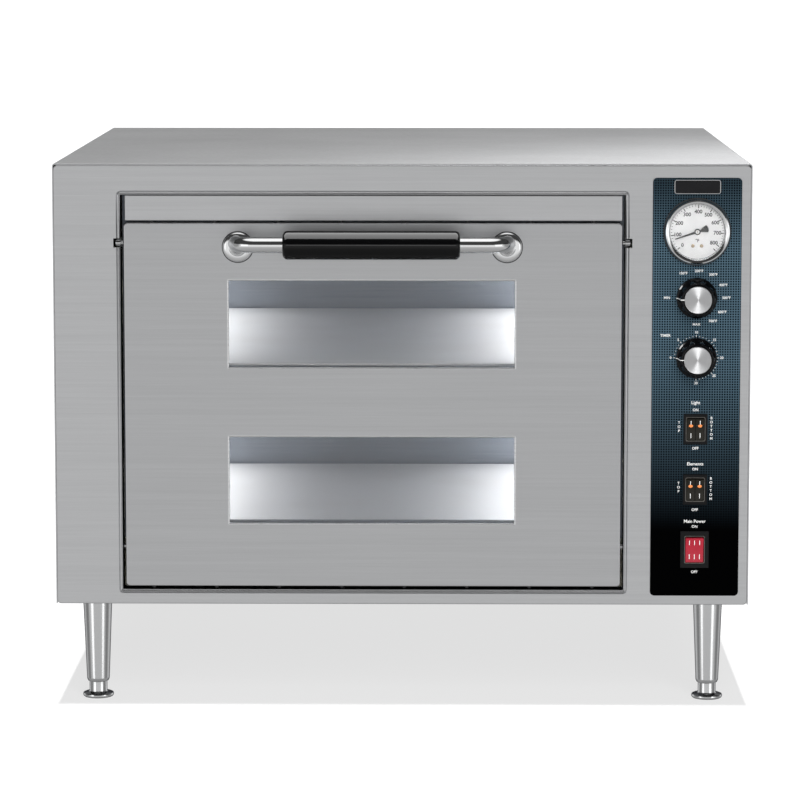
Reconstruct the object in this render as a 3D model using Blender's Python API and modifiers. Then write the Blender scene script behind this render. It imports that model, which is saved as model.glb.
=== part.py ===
"""Countertop pizza oven: two stone decks in one chamber, closed by one drop-down glazed door.

Metres, +Z up, +X to the right of someone who stands in front, and the front faces -Y.
The origin is on the table under the middle of the whole oven.
"""
import math

import bmesh
import bpy
from mathutils import Matrix

# Body
WIDTH = 0.711
DEPTH = 0.673
TOP = 0.559
UNDERSIDE = 0.106
SHEET = 0.0015
THIN = 0.0012
GAP = 0.0003
HANDLE_REACH = 0.0665
GLAND_REACH = 0.015
FRONT = (HANDLE_REACH - DEPTH - GLAND_REACH) / 2
REAR = FRONT + DEPTH
SIDE = WIDTH / 2
INNER_SIDE = SIDE - THIN - GAP
FRAME_RETURN = 0.014
WRAP_SETBACK = 0.0015

# Door opening in the front frame, and the jamb that runs back from it
OPENING_LEFT = -0.2865
OPENING_RIGHT = 0.2271
OPENING_LOW = 0.1213
OPENING_HIGH = 0.5272
JAMB_DEPTH = 0.020
LINTEL_LOW = 0.5009
LINTEL_LEFT = -0.2817
LINTEL_RIGHT = 0.2238

# Door
DOOR_LEFT = -0.2831
DOOR_RIGHT = 0.2239
DOOR_LOW = 0.1246
DOOR_HIGH = 0.4987
DOOR_DEPTH = 0.020
HINGE_Z = 0.1641
HINGE_Y = FRONT + 0.014
CATCH_Z = 0.4782
CATCH_Y = FRONT + 0.0055
CATCH_NOTCH_REACH = 0.0070
CATCH_NOTCH_HALF = 0.0047
PLUG_LEFT = -0.2626
PLUG_RIGHT = 0.2034
PLUG_LOW = 0.1825
PLUG_HIGH = 0.4840
PLUG_BACK = FRONT + 0.036
WINDOW_LEFT = -0.1777
WINDOW_RIGHT = 0.1163
WINDOWS = {"upper": (0.3496, 0.4410), "lower": (0.1888, 0.2804)}
GLASS_FRONT = FRONT + 0.0020
GLASS_BACK = FRONT + 0.0060
GLASS_OVERLAP = 0.010
TUNNEL_MARGIN = 0.005
TUNNEL_FLOOR_DROP = 0.0005

# Handle
HANDLE_X = (-0.1668, 0.1068)
ROSETTE_Z = 0.4742
BAR_Z = 0.4806
BAR_RADIUS = 0.008
BAR_STANDOFF = 0.052
BAR_BEND = 0.020
GRIP_RADIUS = 0.0145
GRIP_LENGTH = 0.178
ROSETTE_RADIUS = 0.0155
ROSETTE_THICKNESS = 0.004

# Baking chamber
CHAMBER_LEFT = -0.2673
CHAMBER_RIGHT = 0.2083
CHAMBER_FLOOR = 0.1297
CHAMBER_STEP = 0.1722
CHAMBER_CEILING = 0.4953
CHAMBER_BACK = FRONT + 0.592
CHAMBER_MOUTH = FRONT + 0.0265
DOOR_SWING_BACK = FRONT + 0.057
MOUTH_LOW = 0.1775
MOUTH_HIGH = 0.4885
STONE_THICKNESS = 0.015
STONE_LEFT = -0.262
STONE_RIGHT = 0.203
STONE_BACK = FRONT + 0.585
UPPER_DECK = 0.3505
LOWER_DECK = 0.1651
ELEMENT_RADIUS = 0.004
ELEMENT_RUNS = 6
ELEMENT_HEIGHTS = {"top": 0.478, "middle": 0.318, "bottom": 0.1385}
ELEMENT_PITCH = 0.066
ELEMENT_LEFT = (CHAMBER_LEFT + CHAMBER_RIGHT - (ELEMENT_RUNS - 1) * ELEMENT_PITCH) / 2
LAMP_HEIGHTS = {"upper": 0.440, "lower": 0.285}
BLANKET = 0.030
DIVIDER_X = 0.2415

# Legs and feet
LEG_X = 0.3172
LEG_INSET = 0.045
LEG_TOP_RADIUS = 0.0152
LEG_END_RADIUS = 0.0117
LEG_END_Z = 0.0165
FOOT_RADIUS = 0.016
FOOT_STUD_RADIUS = 0.006
FOOT_STUD_TOP = 0.070

# Control panel
PANEL_X = 0.29975
PANEL_LOW = 0.1157
PANEL_HIGH = 0.5450
PANEL_WIDTH = 0.0903
PANEL_CORNER = 0.0043
PANEL_THICKNESS = 0.001
PANEL_FACE = FRONT - GAP - PANEL_THICKNESS
BADGE_Z = 0.5359
GAUGE_Z = 0.4904
GAUGE_RADIUS = 0.0332
GAUGE_DIAL_RADIUS = 0.0276
GAUGE_BARREL_RADIUS = 0.029
GAUGE_REST_DEG = -109
KNOB_HEIGHTS = {"thermostat": 0.4229, "timer": 0.3615}
KNOB_RADIUS = 0.02075
KNOB_HEIGHT = 0.0225
KNOB_FLUTES = 12
KNOB_CAP_RADIUS = 0.014
SHAFT_RADIUS = 0.003
ROCKER_TILT_DEG = 7
TWIN_ROCKER = (0.0088, 0.0226)
POWER_ROCKER = (0.0185, 0.0255)
SWITCHES = {
    "light_switch": (0.2884, 0.0244, 0.0312,
                     {"light_rocker_top": -0.00465, "light_rocker_bottom": 0.00465}),
    "element_switch": (0.2261, 0.0244, 0.0312,
                       {"element_rocker_top": -0.00465, "element_rocker_bottom": 0.00465}),
    "power_switch": (0.1639, 0.0291, 0.0379, {"power_rocker": 0.0}),
}
ROCKER_PIVOT_Y = PANEL_FACE + 0.0015
# Outline across lies along Y, outline up along Z, and the top leans forward
UPRIGHT = Matrix(((0, 0, 1), (1, 0, 0), (0, 1, 0)))
ROCKER_TURN = (Matrix.Rotation(math.radians(ROCKER_TILT_DEG), 3, "X") @ UPRIGHT).to_euler()

# Rear
GLAND_X = 0.300
GLAND_Z = 0.170

FINE_MERGE = 0.00001
FORWARD = (math.radians(90), 0, 0)
SIDEWAYS = (0, math.radians(90), 0)

COLOURS = {
    "brushed_steel": ((0.47, 0.48, 0.49), 1.0, 0.32),
    "chrome": ((0.80, 0.81, 0.82), 1.0, 0.08),
    "satin_steel": ((0.58, 0.59, 0.60), 1.0, 0.24),
    "black_plastic": ((0.012, 0.012, 0.013), 0.0, 0.30),
    "black_panel": ((0.020, 0.035, 0.048), 0.0, 0.35),
    "white_dial": ((0.86, 0.86, 0.85), 0.0, 0.45),
    "red_lens": ((0.62, 0.03, 0.05), 0.0, 0.15),
    "stone": ((0.70, 0.66, 0.58), 0.0, 0.90),
    "glass": ((0.62, 0.68, 0.68), 0.0, 0.04),
    "element_steel": ((0.10, 0.09, 0.085), 1.0, 0.45),
    "aluminised_steel": ((0.40, 0.41, 0.43), 1.0, 0.40),
    "blanket": ((0.78, 0.74, 0.60), 0.0, 1.0),
    "gasket": ((0.10, 0.10, 0.10), 0.0, 0.85),
    "spun_aluminium": ((0.78, 0.79, 0.80), 1.0, 0.25),
}


def make_material(name):
    """One Principled material from the colour table."""
    colour, metallic, roughness = COLOURS[name]
    material = bpy.data.materials.new(name)
    material.use_nodes = True
    shader = material.node_tree.nodes["Principled BSDF"]
    shader.inputs["Base Color"].default_value = (*colour, 1.0)
    shader.inputs["Metallic"].default_value = metallic
    shader.inputs["Roughness"].default_value = roughness
    return material


def clear_scene():
    """Remove whatever the start-up scene holds."""
    for old in list(bpy.data.objects):
        bpy.data.objects.remove(old, do_unlink=True)


clear_scene()
PARTS = bpy.data.collections.new("countertop_pizza_oven")
GUIDES = bpy.data.collections.new("cutters")
for collection in (PARTS, GUIDES):
    bpy.context.scene.collection.children.link(collection)
MATERIALS = {name: make_material(name) for name in COLOURS}


# ---------------------------------------------------------------- building blocks

def add(name, data, material, place, parent=None, turn=(0, 0, 0)):
    """Link an object at a world place; without a material it is a hidden cutter."""
    thing = bpy.data.objects.new(name, data)
    thing.parent = parent
    origin = parent.location if parent else (0, 0, 0)
    thing.location = [a - b for a, b in zip(place, origin)]
    thing.rotation_euler = turn
    if material:
        data.materials.append(MATERIALS[material])
        PARTS.objects.link(thing)
    else:
        thing.hide_render = True
        thing.display_type = "WIRE"
        GUIDES.objects.link(thing)
    return thing


def pivot(name, place):
    """An empty on a joint's axis, which the moving pieces are parented to."""
    empty = bpy.data.objects.new(name, None)
    empty.location = place
    PARTS.objects.link(empty)
    return empty


def mesh_from(name, shape, smooth=False):
    """Turn a bmesh into a mesh."""
    mesh = bpy.data.meshes.new(name)
    shape.to_mesh(mesh)
    shape.free()
    if smooth:
        mesh.shade_smooth()
        mesh.set_sharp_from_angle(angle=math.radians(35))
    return mesh


def cube_between(low, high):
    """A bmesh box around its own centre, and the place of that centre."""
    shape = bmesh.new()
    bmesh.ops.create_cube(shape, size=1.0)
    size = [b - a for a, b in zip(low, high)]
    bmesh.ops.scale(shape, vec=size, verts=shape.verts)
    centre = [(a + b) / 2 for a, b in zip(low, high)]
    return shape, centre


def box(name, low, high, material=None, parent=None):
    """A solid block between two corners."""
    shape, centre = cube_between(low, high)
    return add(name, mesh_from(name, shape), material, centre, parent)


def pan(name, low, high, open_sides, sheet, material, parent=None):
    """A folded sheet: a box without its open sides, thickened inwards."""
    shape, centre = cube_between(low, high)
    shape.normal_update()
    gone = []
    for face in shape.faces:
        for axis, sign in open_sides:
            if face.normal[axis] * sign > 0.5:
                gone.append(face)
    bmesh.ops.delete(shape, geom=gone, context="FACES")
    thing = add(name, mesh_from(name, shape), material, centre, parent)
    wall = thing.modifiers.new("sheet", "SOLIDIFY")
    wall.thickness = sheet
    wall.offset = -1
    wall.use_even_offset = True
    return thing


def cylinder(name, centre, radius, length, turn, material=None, parent=None, sides=24):
    """A solid cylinder whose own Z axis is turned by an Euler rotation."""
    shape = bmesh.new()
    bmesh.ops.create_cone(shape, cap_ends=True, segments=sides, radius1=radius, radius2=radius,
                          depth=length)
    return add(name, mesh_from(name, shape, smooth=True), material, centre, parent, turn)


def turned(name, profile, place, turn, material, parent=None, sides=24, ring=False):
    """A turned piece from (radius, height) points that run down its outer side."""
    shape = bmesh.new()
    points = [shape.verts.new((radius, 0, height)) for radius, height in profile]
    for start, end in zip(points, points[1:]):
        shape.edges.new((start, end))
    if ring:
        shape.edges.new((points[-1], points[0]))
    thing = add(name, mesh_from(name, shape), material, place, parent, turn)
    screw = thing.modifiers.new("turn", "SCREW")
    screw.steps = sides
    screw.render_steps = sides
    screw.use_merge_vertices = True
    screw.merge_threshold = FINE_MERGE
    screw.use_smooth_shade = True
    return thing


def flat_piece(name, outlines, thickness, place, turn, material=None, parent=None):
    """A flat piece from closed outlines; those inside the first one are holes."""
    curve = bpy.data.curves.new(name, "CURVE")
    curve.dimensions = "2D"
    curve.fill_mode = "BOTH"
    curve.extrude = thickness / 2
    for outline in outlines:
        spline = curve.splines.new("POLY")
        spline.points.add(len(outline) - 1)
        for point, (across, up) in zip(spline.points, outline):
            point.co = (across, up, 0, 1)
        spline.use_cyclic_u = True
    return add(name, curve, material, place, parent, turn)


def tube(name, points, radius, material, parent=None, resolution=2):
    """A bent rod along a row of points."""
    curve = bpy.data.curves.new(name, "CURVE")
    curve.dimensions = "3D"
    curve.bevel_depth = radius
    curve.bevel_resolution = resolution
    curve.use_fill_caps = True
    spline = curve.splines.new("POLY")
    spline.points.add(len(points) - 1)
    origin = points[0]
    for point, place in zip(spline.points, points):
        point.co = (*[a - b for a, b in zip(place, origin)], 1)
    return add(name, curve, material, origin, parent)


def combine(target, operation, tools):
    """Add one Boolean modifier for each tool."""
    for tool in tools:
        step = target.modifiers.new(tool.name, "BOOLEAN")
        step.operation = operation
        step.object = tool
        step.solver = "EXACT"


def cut(target, *tools):
    """Cut the tools out of the target."""
    combine(target, "DIFFERENCE", tools)


def join(target, *tools):
    """Add the tools to the target."""
    combine(target, "UNION", tools)


def arc(centre, radius, start_deg, end_deg, steps):
    """Points along an arc in a plane, both ends included."""
    points = []
    for step in range(steps + 1):
        angle = math.radians(start_deg + (end_deg - start_deg) * step / steps)
        points.append((centre[0] + radius * math.cos(angle), centre[1] + radius * math.sin(angle)))
    return points


def rounded_outline(width, height, corner, steps=4):
    """A rectangle around the origin with round corners."""
    across = width / 2 - corner
    up = height / 2 - corner
    corners = ((across, up, 0), (-across, up, 90), (-across, -up, 180), (across, -up, 270))
    points = []
    for x, z, start in corners:
        points += arc((x, z), corner, start, start + 90, steps)
    return points


# ---------------------------------------------------------------- casing

def panel_cutters(name, reach_front, reach_back):
    """Holes for the gauge, the two shafts and the three switches, through one sheet."""
    middle = (reach_front + reach_back) / 2
    length = reach_back - reach_front
    tools = [cylinder(f"cut_{name}_gauge", (PANEL_X, middle, GAUGE_Z), GAUGE_BARREL_RADIUS + 0.0006,
                      length, FORWARD, sides=48)]
    for control, height in KNOB_HEIGHTS.items():
        tools.append(cylinder(f"cut_{name}_{control}", (PANEL_X, middle, height), 0.005, length, FORWARD))
    for switch, (height, width, tall, _) in SWITCHES.items():
        half_width = width / 2 - 0.0015
        half_height = tall / 2 - 0.0015
        tools.append(box(f"cut_{name}_{switch}", (PANEL_X - half_width, reach_front, height - half_height),
                         (PANEL_X + half_width, reach_back, height + half_height)))
    return tools


def build_front_frame():
    """The face of the oven, folded back at its rim, with a jamb around the door."""
    frame = pan("front_frame", (-INNER_SIDE, FRONT, UNDERSIDE),
                (INNER_SIDE, FRONT + FRAME_RETURN, TOP - THIN - GAP), [(1, 1)], SHEET, "brushed_steel")
    jamb = box("add_jamb", (OPENING_LEFT - SHEET, FRONT + SHEET / 2, OPENING_LOW - SHEET),
               (OPENING_RIGHT + SHEET, FRONT + JAMB_DEPTH, OPENING_HIGH + SHEET))
    mouth = box("cut_mouth", (OPENING_LEFT, FRONT - 0.01, OPENING_LOW),
                (OPENING_RIGHT, FRONT + 0.03, OPENING_HIGH))
    notches = []
    for side, edge, out in (("left", OPENING_LEFT, -1), ("right", OPENING_RIGHT, 1)):
        inner = edge - out * 0.001
        outer = edge + out * CATCH_NOTCH_REACH
        notches.append(box(f"cut_notch_{side}",
                           (min(inner, outer), FRONT - 0.01, CATCH_Z - CATCH_NOTCH_HALF),
                           (max(inner, outer), FRONT + 0.0125, CATCH_Z + CATCH_NOTCH_HALF)))
    pin_bore = cylinder("cut_hinge_bores", ((OPENING_LEFT + OPENING_RIGHT) / 2, HINGE_Y, HINGE_Z), 0.0035,
                        OPENING_RIGHT - OPENING_LEFT + 0.012, SIDEWAYS)
    join(frame, jamb)
    cut(frame, mouth, pin_bore, *notches, *panel_cutters("frame", FRONT - 0.01, FRONT + 0.01))


def build_outer_wrap():
    """Top and both sides from one folded sheet, with louvre slots on the control side."""
    wrap = pan("outer_wrap", (-SIDE, FRONT + WRAP_SETBACK, UNDERSIDE), (SIDE, REAR, TOP),
               [(1, -1), (1, 1), (2, -1)], THIN, "brushed_steel")
    slots = []
    for index in range(8):
        y = REAR - 0.060 - index * 0.016
        slots.append(box(f"cut_louvre_{index}", (SIDE - 0.01, y - 0.003, 0.150),
                         (SIDE + 0.01, y + 0.003, 0.215)))
    cut(wrap, *slots)


def build_base_and_rear():
    """The base pan that carries the legs, and the vented rear panel."""
    pan("base_pan", (-INNER_SIDE, FRONT + FRAME_RETURN + 0.0008, UNDERSIDE),
        (INNER_SIDE, REAR, UNDERSIDE + 0.012), [(2, 1)], THIN, "aluminised_steel")
    rear = pan("rear_panel", (-INNER_SIDE, REAR - 0.012, UNDERSIDE + 0.0125),
               (INNER_SIDE, REAR, TOP - SHEET), [(1, -1)], THIN, "aluminised_steel")
    slots = [cylinder("cut_gland", (GLAND_X, REAR, GLAND_Z), 0.0105, 0.05, FORWARD)]
    for index in range(9):
        z = 0.400 + index * 0.012
        slots.append(box(f"cut_vent_{index}", (0.225, REAR - 0.01, z), (0.315, REAR + 0.01, z + 0.004)))
    cut(rear, *slots)


def build_inner_sheets():
    """Lintel above the door, heat shield beside the controls, and the insulation."""
    pan("lintel_panel", (LINTEL_LEFT, FRONT + 0.0004, LINTEL_LOW),
        (LINTEL_RIGHT, FRONT + 0.018, OPENING_HIGH - GAP), [(1, 1)], SHEET, "brushed_steel")
    box("control_divider", (DIVIDER_X, FRONT + 0.0165, UNDERSIDE + 0.0016),
        (DIVIDER_X + THIN, REAR - 0.0125, TOP - 0.0035), "aluminised_steel")
    reach = THIN + BLANKET
    blanket = box("insulation_blanket", (CHAMBER_LEFT - reach, DOOR_SWING_BACK, UNDERSIDE + 0.004),
                  (CHAMBER_RIGHT + reach, CHAMBER_BACK + reach, CHAMBER_CEILING + reach), "blanket")
    room = box("cut_blanket", (CHAMBER_LEFT - THIN - GAP, FRONT, CHAMBER_FLOOR - THIN - GAP),
               (CHAMBER_RIGHT + THIN + GAP, CHAMBER_BACK + THIN + GAP, CHAMBER_CEILING + THIN + GAP))
    cut(blanket, room)
    return blanket


# ---------------------------------------------------------------- chamber

def build_chamber_liner():
    """The chamber: open at the front, and set back low down so that the door's tail can swing."""
    wall = THIN
    liner = box("chamber_liner", (CHAMBER_LEFT - wall, CHAMBER_MOUTH, CHAMBER_STEP - wall),
                (CHAMBER_RIGHT + wall, CHAMBER_BACK + wall, CHAMBER_CEILING + wall), "aluminised_steel")
    well = box("add_well", (CHAMBER_LEFT - wall, DOOR_SWING_BACK, CHAMBER_FLOOR - wall),
               (CHAMBER_RIGHT + wall, CHAMBER_BACK + wall, CHAMBER_STEP + 0.01))
    flange = box("add_flange", (OPENING_LEFT, CHAMBER_MOUTH, CHAMBER_STEP - wall),
                 (OPENING_RIGHT, CHAMBER_MOUTH + wall, OPENING_HIGH))
    room = box("cut_room", (CHAMBER_LEFT, CHAMBER_MOUTH + wall, CHAMBER_STEP),
               (CHAMBER_RIGHT, CHAMBER_BACK, CHAMBER_CEILING))
    low_room = box("cut_low_room", (CHAMBER_LEFT, DOOR_SWING_BACK + wall, CHAMBER_FLOOR),
                   (CHAMBER_RIGHT, CHAMBER_BACK, CHAMBER_STEP + 0.02))
    mouth = box("cut_chamber_mouth", (CHAMBER_LEFT, CHAMBER_MOUTH - 0.01, MOUTH_LOW),
                (CHAMBER_RIGHT, CHAMBER_MOUTH + 0.01, MOUTH_HIGH))
    join(liner, well, flange)
    cut(liner, room, low_room, mouth)
    return liner


def build_decks():
    """Two baking stones, the rails under the upper one and the tray under the lower one."""
    box("upper_deck_stone", (STONE_LEFT, FRONT + 0.041, UPPER_DECK - STONE_THICKNESS),
        (STONE_RIGHT, STONE_BACK, UPPER_DECK), "stone")
    box("lower_deck_stone", (STONE_LEFT, DOOR_SWING_BACK + 0.0025, LOWER_DECK - STONE_THICKNESS),
        (STONE_RIGHT, STONE_BACK, LOWER_DECK), "stone")
    rail_top = UPPER_DECK - STONE_THICKNESS - GAP
    rail_width = 0.018
    left = CHAMBER_LEFT + GAP
    right = CHAMBER_RIGHT - GAP
    for side, low_x, high_x, open_side in (("left", left, left + rail_width, 1),
                                           ("right", right - rail_width, right, -1)):
        pan(f"upper_deck_rail_{side}", (low_x, FRONT + 0.041, rail_top - 0.014),
            (high_x, STONE_BACK, rail_top), [(0, open_side), (1, 1), (1, -1), (2, -1)], 0.002,
            "aluminised_steel")
    tray_top = LOWER_DECK - STONE_THICKNESS - GAP
    box("lower_deck_tray", (STONE_LEFT, DOOR_SWING_BACK + 0.0025, tray_top - 0.002),
        (STONE_RIGHT, STONE_BACK, tray_top), "aluminised_steel")


def element_route(height):
    """A flat serpentine whose two ends leave through the chamber's back wall."""
    back = CHAMBER_BACK - 0.045
    front = FRONT + 0.085
    bend = ELEMENT_PITCH / 2
    exit_y = CHAMBER_BACK + THIN + BLANKET + 0.006
    points = [(ELEMENT_LEFT, exit_y, height)]
    for run in range(ELEMENT_RUNS - 1):
        x = ELEMENT_LEFT + run * ELEMENT_PITCH
        forward = run % 2 == 0
        turn_y = front + bend if forward else back - bend
        sweep = (180, 360) if forward else (180, 0)
        points += [(px, py, height) for px, py in arc((x + bend, turn_y), bend, *sweep, 6)]
    last_x = ELEMENT_LEFT + (ELEMENT_RUNS - 1) * ELEMENT_PITCH
    points.append((last_x, exit_y, height))
    return points


def build_elements(liner, blanket):
    """Three tubular heating elements, and the holes that their ends pass through."""
    last_x = ELEMENT_LEFT + (ELEMENT_RUNS - 1) * ELEMENT_PITCH
    for name, height in ELEMENT_HEIGHTS.items():
        tube(f"{name}_element", element_route(height), ELEMENT_RADIUS, "element_steel")
        for side, x in (("left", ELEMENT_LEFT), ("right", last_x)):
            hole = cylinder(f"cut_{name}_terminal_{side}", (x, CHAMBER_BACK + BLANKET / 2, height),
                            ELEMENT_RADIUS + 0.0006, BLANKET * 2, FORWARD, sides=16)
            cut(liner, hole)
            cut(blanket, hole)


def build_lamps():
    """A glass lamp dome on the right wall of each deck's space."""
    dome = [(0, 0.025)]
    dome += [(0.018 * math.sin(a), 0.006 + 0.019 * math.cos(a)) for a in (0.35, 0.7, 1.05, 1.4)]
    dome += [(0.018, 0.006), (0.022, 0.006), (0.022, 0.0003), (0, 0.0003)]
    turn = (0, math.radians(-90), 0)
    for name, height in LAMP_HEIGHTS.items():
        turned(f"{name}_lamp", dome, (CHAMBER_RIGHT, FRONT + 0.270, height), turn, "glass")


# ---------------------------------------------------------------- door

def build_door():
    """The door's sheets, glasses, gasket and pins, all on the hinge axis."""
    hinge = pivot("door_hinge_axis", (0, HINGE_Y, HINGE_Z))
    skin = pan("door_skin", (DOOR_LEFT, FRONT, DOOR_LOW), (DOOR_RIGHT, FRONT + DOOR_DEPTH, DOOR_HIGH),
               [(1, 1)], SHEET, "brushed_steel", hinge)
    inset = SHEET + GAP
    liner = box("door_liner", (DOOR_LEFT + inset, FRONT + 0.0179, DOOR_LOW + inset),
                (DOOR_RIGHT - inset, FRONT + 0.0194, DOOR_HIGH - inset), "brushed_steel", hinge)
    plug = box("add_plug", (PLUG_LEFT, FRONT + 0.0179, PLUG_LOW),
               (PLUG_RIGHT, PLUG_BACK, PLUG_HIGH), parent=hinge)
    pocket = box("cut_pocket", (PLUG_LEFT + SHEET, FRONT + 0.010, PLUG_LOW + SHEET),
                 (PLUG_RIGHT - SHEET, PLUG_BACK - SHEET, PLUG_HIGH - SHEET), parent=hinge)
    join(liner, plug)
    cut(liner, pocket)
    for name, (low, high) in WINDOWS.items():
        build_window(name, low, high, skin, liner, hinge)
    seal = 0.005
    gasket = box("door_gasket", (PLUG_LEFT - seal - 0.0055, FRONT + 0.0197, PLUG_LOW - seal - 0.0057),
                 (PLUG_RIGHT + seal + 0.0055, CHAMBER_MOUTH - GAP, PLUG_HIGH + seal + 0.0055),
                 "gasket", hinge)
    hole = box("cut_gasket", (PLUG_LEFT - 0.0052, FRONT, PLUG_LOW - 0.0052),
               (PLUG_RIGHT + 0.0052, PLUG_BACK, PLUG_HIGH + 0.0052), parent=hinge)
    cut(gasket, hole)
    build_door_pins(hinge)
    build_handle(hinge)


def build_window(name, low, high, skin, liner, hinge):
    """One window: the cut in the skin, the glass, and the tunnel through the liner."""
    cut(skin, box(f"cut_{name}_window", (WINDOW_LEFT, FRONT - 0.01, low),
                  (WINDOW_RIGHT, FRONT + 0.01, high), parent=hinge))
    box(f"door_glass_{name}", (WINDOW_LEFT - GLASS_OVERLAP, GLASS_FRONT, low - GLASS_OVERLAP),
        (WINDOW_RIGHT + GLASS_OVERLAP, GLASS_BACK, high + GLASS_OVERLAP), "glass", hinge)
    inner = TUNNEL_MARGIN
    outer = TUNNEL_MARGIN + SHEET
    floor = low - TUNNEL_FLOOR_DROP
    tunnel = box(f"add_{name}_tunnel", (WINDOW_LEFT - outer, GLASS_BACK + 0.0005, floor - SHEET),
                 (WINDOW_RIGHT + outer, PLUG_BACK - SHEET / 2, high + outer), parent=hinge)
    bore = box(f"cut_{name}_tunnel", (WINDOW_LEFT - inner, FRONT - 0.01, floor),
               (WINDOW_RIGHT + inner, PLUG_BACK + 0.01, high + inner), parent=hinge)
    join(liner, tunnel)
    cut(liner, bore)


def build_door_pins(hinge):
    """A hinge pin low down and a catch stud high up, on each side of the door."""
    for side, face, out in (("left", DOOR_LEFT - GAP, -1), ("right", DOOR_RIGHT + GAP, 1)):
        pin_length = 0.0082
        cylinder(f"hinge_pin_{side}", (face + out * pin_length / 2, HINGE_Y, HINGE_Z), 0.003, pin_length,
                 SIDEWAYS, "satin_steel", hinge, sides=20)
        stud = [(0, 0.0086), (0.0034, 0.0086), (0.004, 0.0080), (0.004, 0.0031), (0.0034, 0.0025),
                (0.0025, 0.0025), (0.0025, 0), (0, 0)]
        turn = (0, math.radians(90 * out), 0)
        turned(f"catch_pin_{side}", stud, (face, CATCH_Y, CATCH_Z), turn, "satin_steel", hinge, sides=20)


def handle_route():
    """From the door out through a bend, across, and back through the other bend."""
    left, right = HANDLE_X
    out_y = FRONT - BAR_STANDOFF
    steps = 6
    points = [(left, FRONT - GAP, ROSETTE_Z), (left, FRONT - BAR_RADIUS, ROSETTE_Z)]
    for step in range(steps + 1):
        angle = math.radians(90 * step / steps)
        points.append((left + BAR_BEND * (1 - math.cos(angle)),
                       out_y + BAR_BEND * (1 - math.sin(angle)), BAR_Z))
    mirrored = [(left + right - x, y, z) for x, y, z in reversed(points)]
    return points + mirrored


def build_handle(hinge):
    """Bent tube with a thick grip sleeve, standing on two rosettes."""
    tube("handle_bar", handle_route(), BAR_RADIUS, "chrome", hinge, resolution=4)
    half = GRIP_LENGTH / 2
    bore = BAR_RADIUS + GAP
    rim = GRIP_RADIUS - 0.004
    grip = [(rim, half), (GRIP_RADIUS - 0.0012, half - 0.0012), (GRIP_RADIUS, half - 0.004),
            (GRIP_RADIUS, -half + 0.004), (GRIP_RADIUS - 0.0012, -half + 0.0012), (rim, -half),
            (bore, -half), (bore, half)]
    middle = (sum(HANDLE_X) / 2, FRONT - BAR_STANDOFF, BAR_Z)
    turned("handle_grip", grip, middle, SIDEWAYS, "black_plastic", hinge, sides=32, ring=True)
    thick = ROSETTE_THICKNESS
    rosette = [(bore + 0.0012, thick), (ROSETTE_RADIUS - 0.0015, thick), (ROSETTE_RADIUS, thick - 0.0015),
               (ROSETTE_RADIUS, 0), (bore + 0.0012, 0)]
    for side, x in zip(("left", "right"), HANDLE_X):
        turned(f"handle_rosette_{side}", rosette, (x, FRONT - GAP, ROSETTE_Z), FORWARD, "chrome", hinge,
               sides=32, ring=True)


# ---------------------------------------------------------------- controls

def build_panel():
    """The printed control panel, with its openings, and a blank badge plate."""
    centre = (PANEL_X, PANEL_FACE + PANEL_THICKNESS / 2, (PANEL_LOW + PANEL_HIGH) / 2)
    outline = rounded_outline(PANEL_WIDTH, PANEL_HIGH - PANEL_LOW, PANEL_CORNER)
    barrel = arc((0, 0), GAUGE_BARREL_RADIUS + 0.0006, 0, 350, 35)
    holes = [[(x, GAUGE_Z - centre[2] + z) for x, z in barrel]]
    for height in KNOB_HEIGHTS.values():
        holes.append([(x, height - centre[2] + z) for x, z in arc((0, 0), 0.005, 0, 345, 23)])
    for height, width, tall, _ in SWITCHES.values():
        corners = rounded_outline(width - 0.003, tall - 0.003, 0.0005, 1)
        holes.append([(x, height - centre[2] + z) for x, z in corners])
    flat_piece("control_overlay", [outline, *holes], PANEL_THICKNESS, centre, FORWARD, "black_panel")
    flat_piece("badge_plate", [rounded_outline(0.047, 0.0144, 0.0015)], 0.0008,
               (PANEL_X, PANEL_FACE - GAP - 0.0004, BADGE_Z), FORWARD, "black_plastic")


def build_gauge():
    """A dial thermometer: cup, dial, lens, and a needle on its own axis."""
    face = PANEL_FACE - GAP
    barrel = GAUGE_BARREL_RADIUS
    inside = GAUGE_DIAL_RADIUS + GAP
    cup = [(0, -0.018), (inside, -0.018), (inside, 0.0060), (0.0288, 0.0068), (0.0312, 0.0076),
           (GAUGE_RADIUS, 0.0056), (GAUGE_RADIUS, 0), (barrel, 0), (barrel, -0.020), (0, -0.020)]
    turned("gauge_case", cup, (PANEL_X, face, GAUGE_Z), FORWARD, "chrome", sides=48)
    cylinder("gauge_dial", (PANEL_X, face + 0.0004, GAUGE_Z), GAUGE_DIAL_RADIUS, 0.0008, FORWARD,
             "white_dial", sides=48)
    cylinder("gauge_lens", (PANEL_X, face - 0.0052, GAUGE_Z), GAUGE_DIAL_RADIUS, 0.0012, FORWARD,
             "glass", sides=48)
    axis = pivot("gauge_needle_axis", (PANEL_X, face - 0.002, GAUGE_Z))
    tail = 0.0035
    hand = [(-0.0005, 0.0235), (-0.0016, 0.004)]
    hand += arc((0, 0), tail, 120, 420, 12)
    hand += [(0.0016, 0.004), (0.0005, 0.0235)]
    flat_piece("gauge_needle", [hand], 0.0008, (PANEL_X, face - 0.002, GAUGE_Z),
               (math.radians(90), math.radians(GAUGE_REST_DEG), 0), "black_plastic", axis)


def fluted_outline(radius, depth, flutes, steps_per_flute=6):
    """A circle whose edge waves in and out once for each flute."""
    points = []
    count = flutes * steps_per_flute
    for step in range(count):
        angle = 2 * math.pi * step / count
        reach = radius - depth / 2 * (1 - math.cos(flutes * angle))
        points.append((reach * math.cos(angle), reach * math.sin(angle)))
    return points


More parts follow.
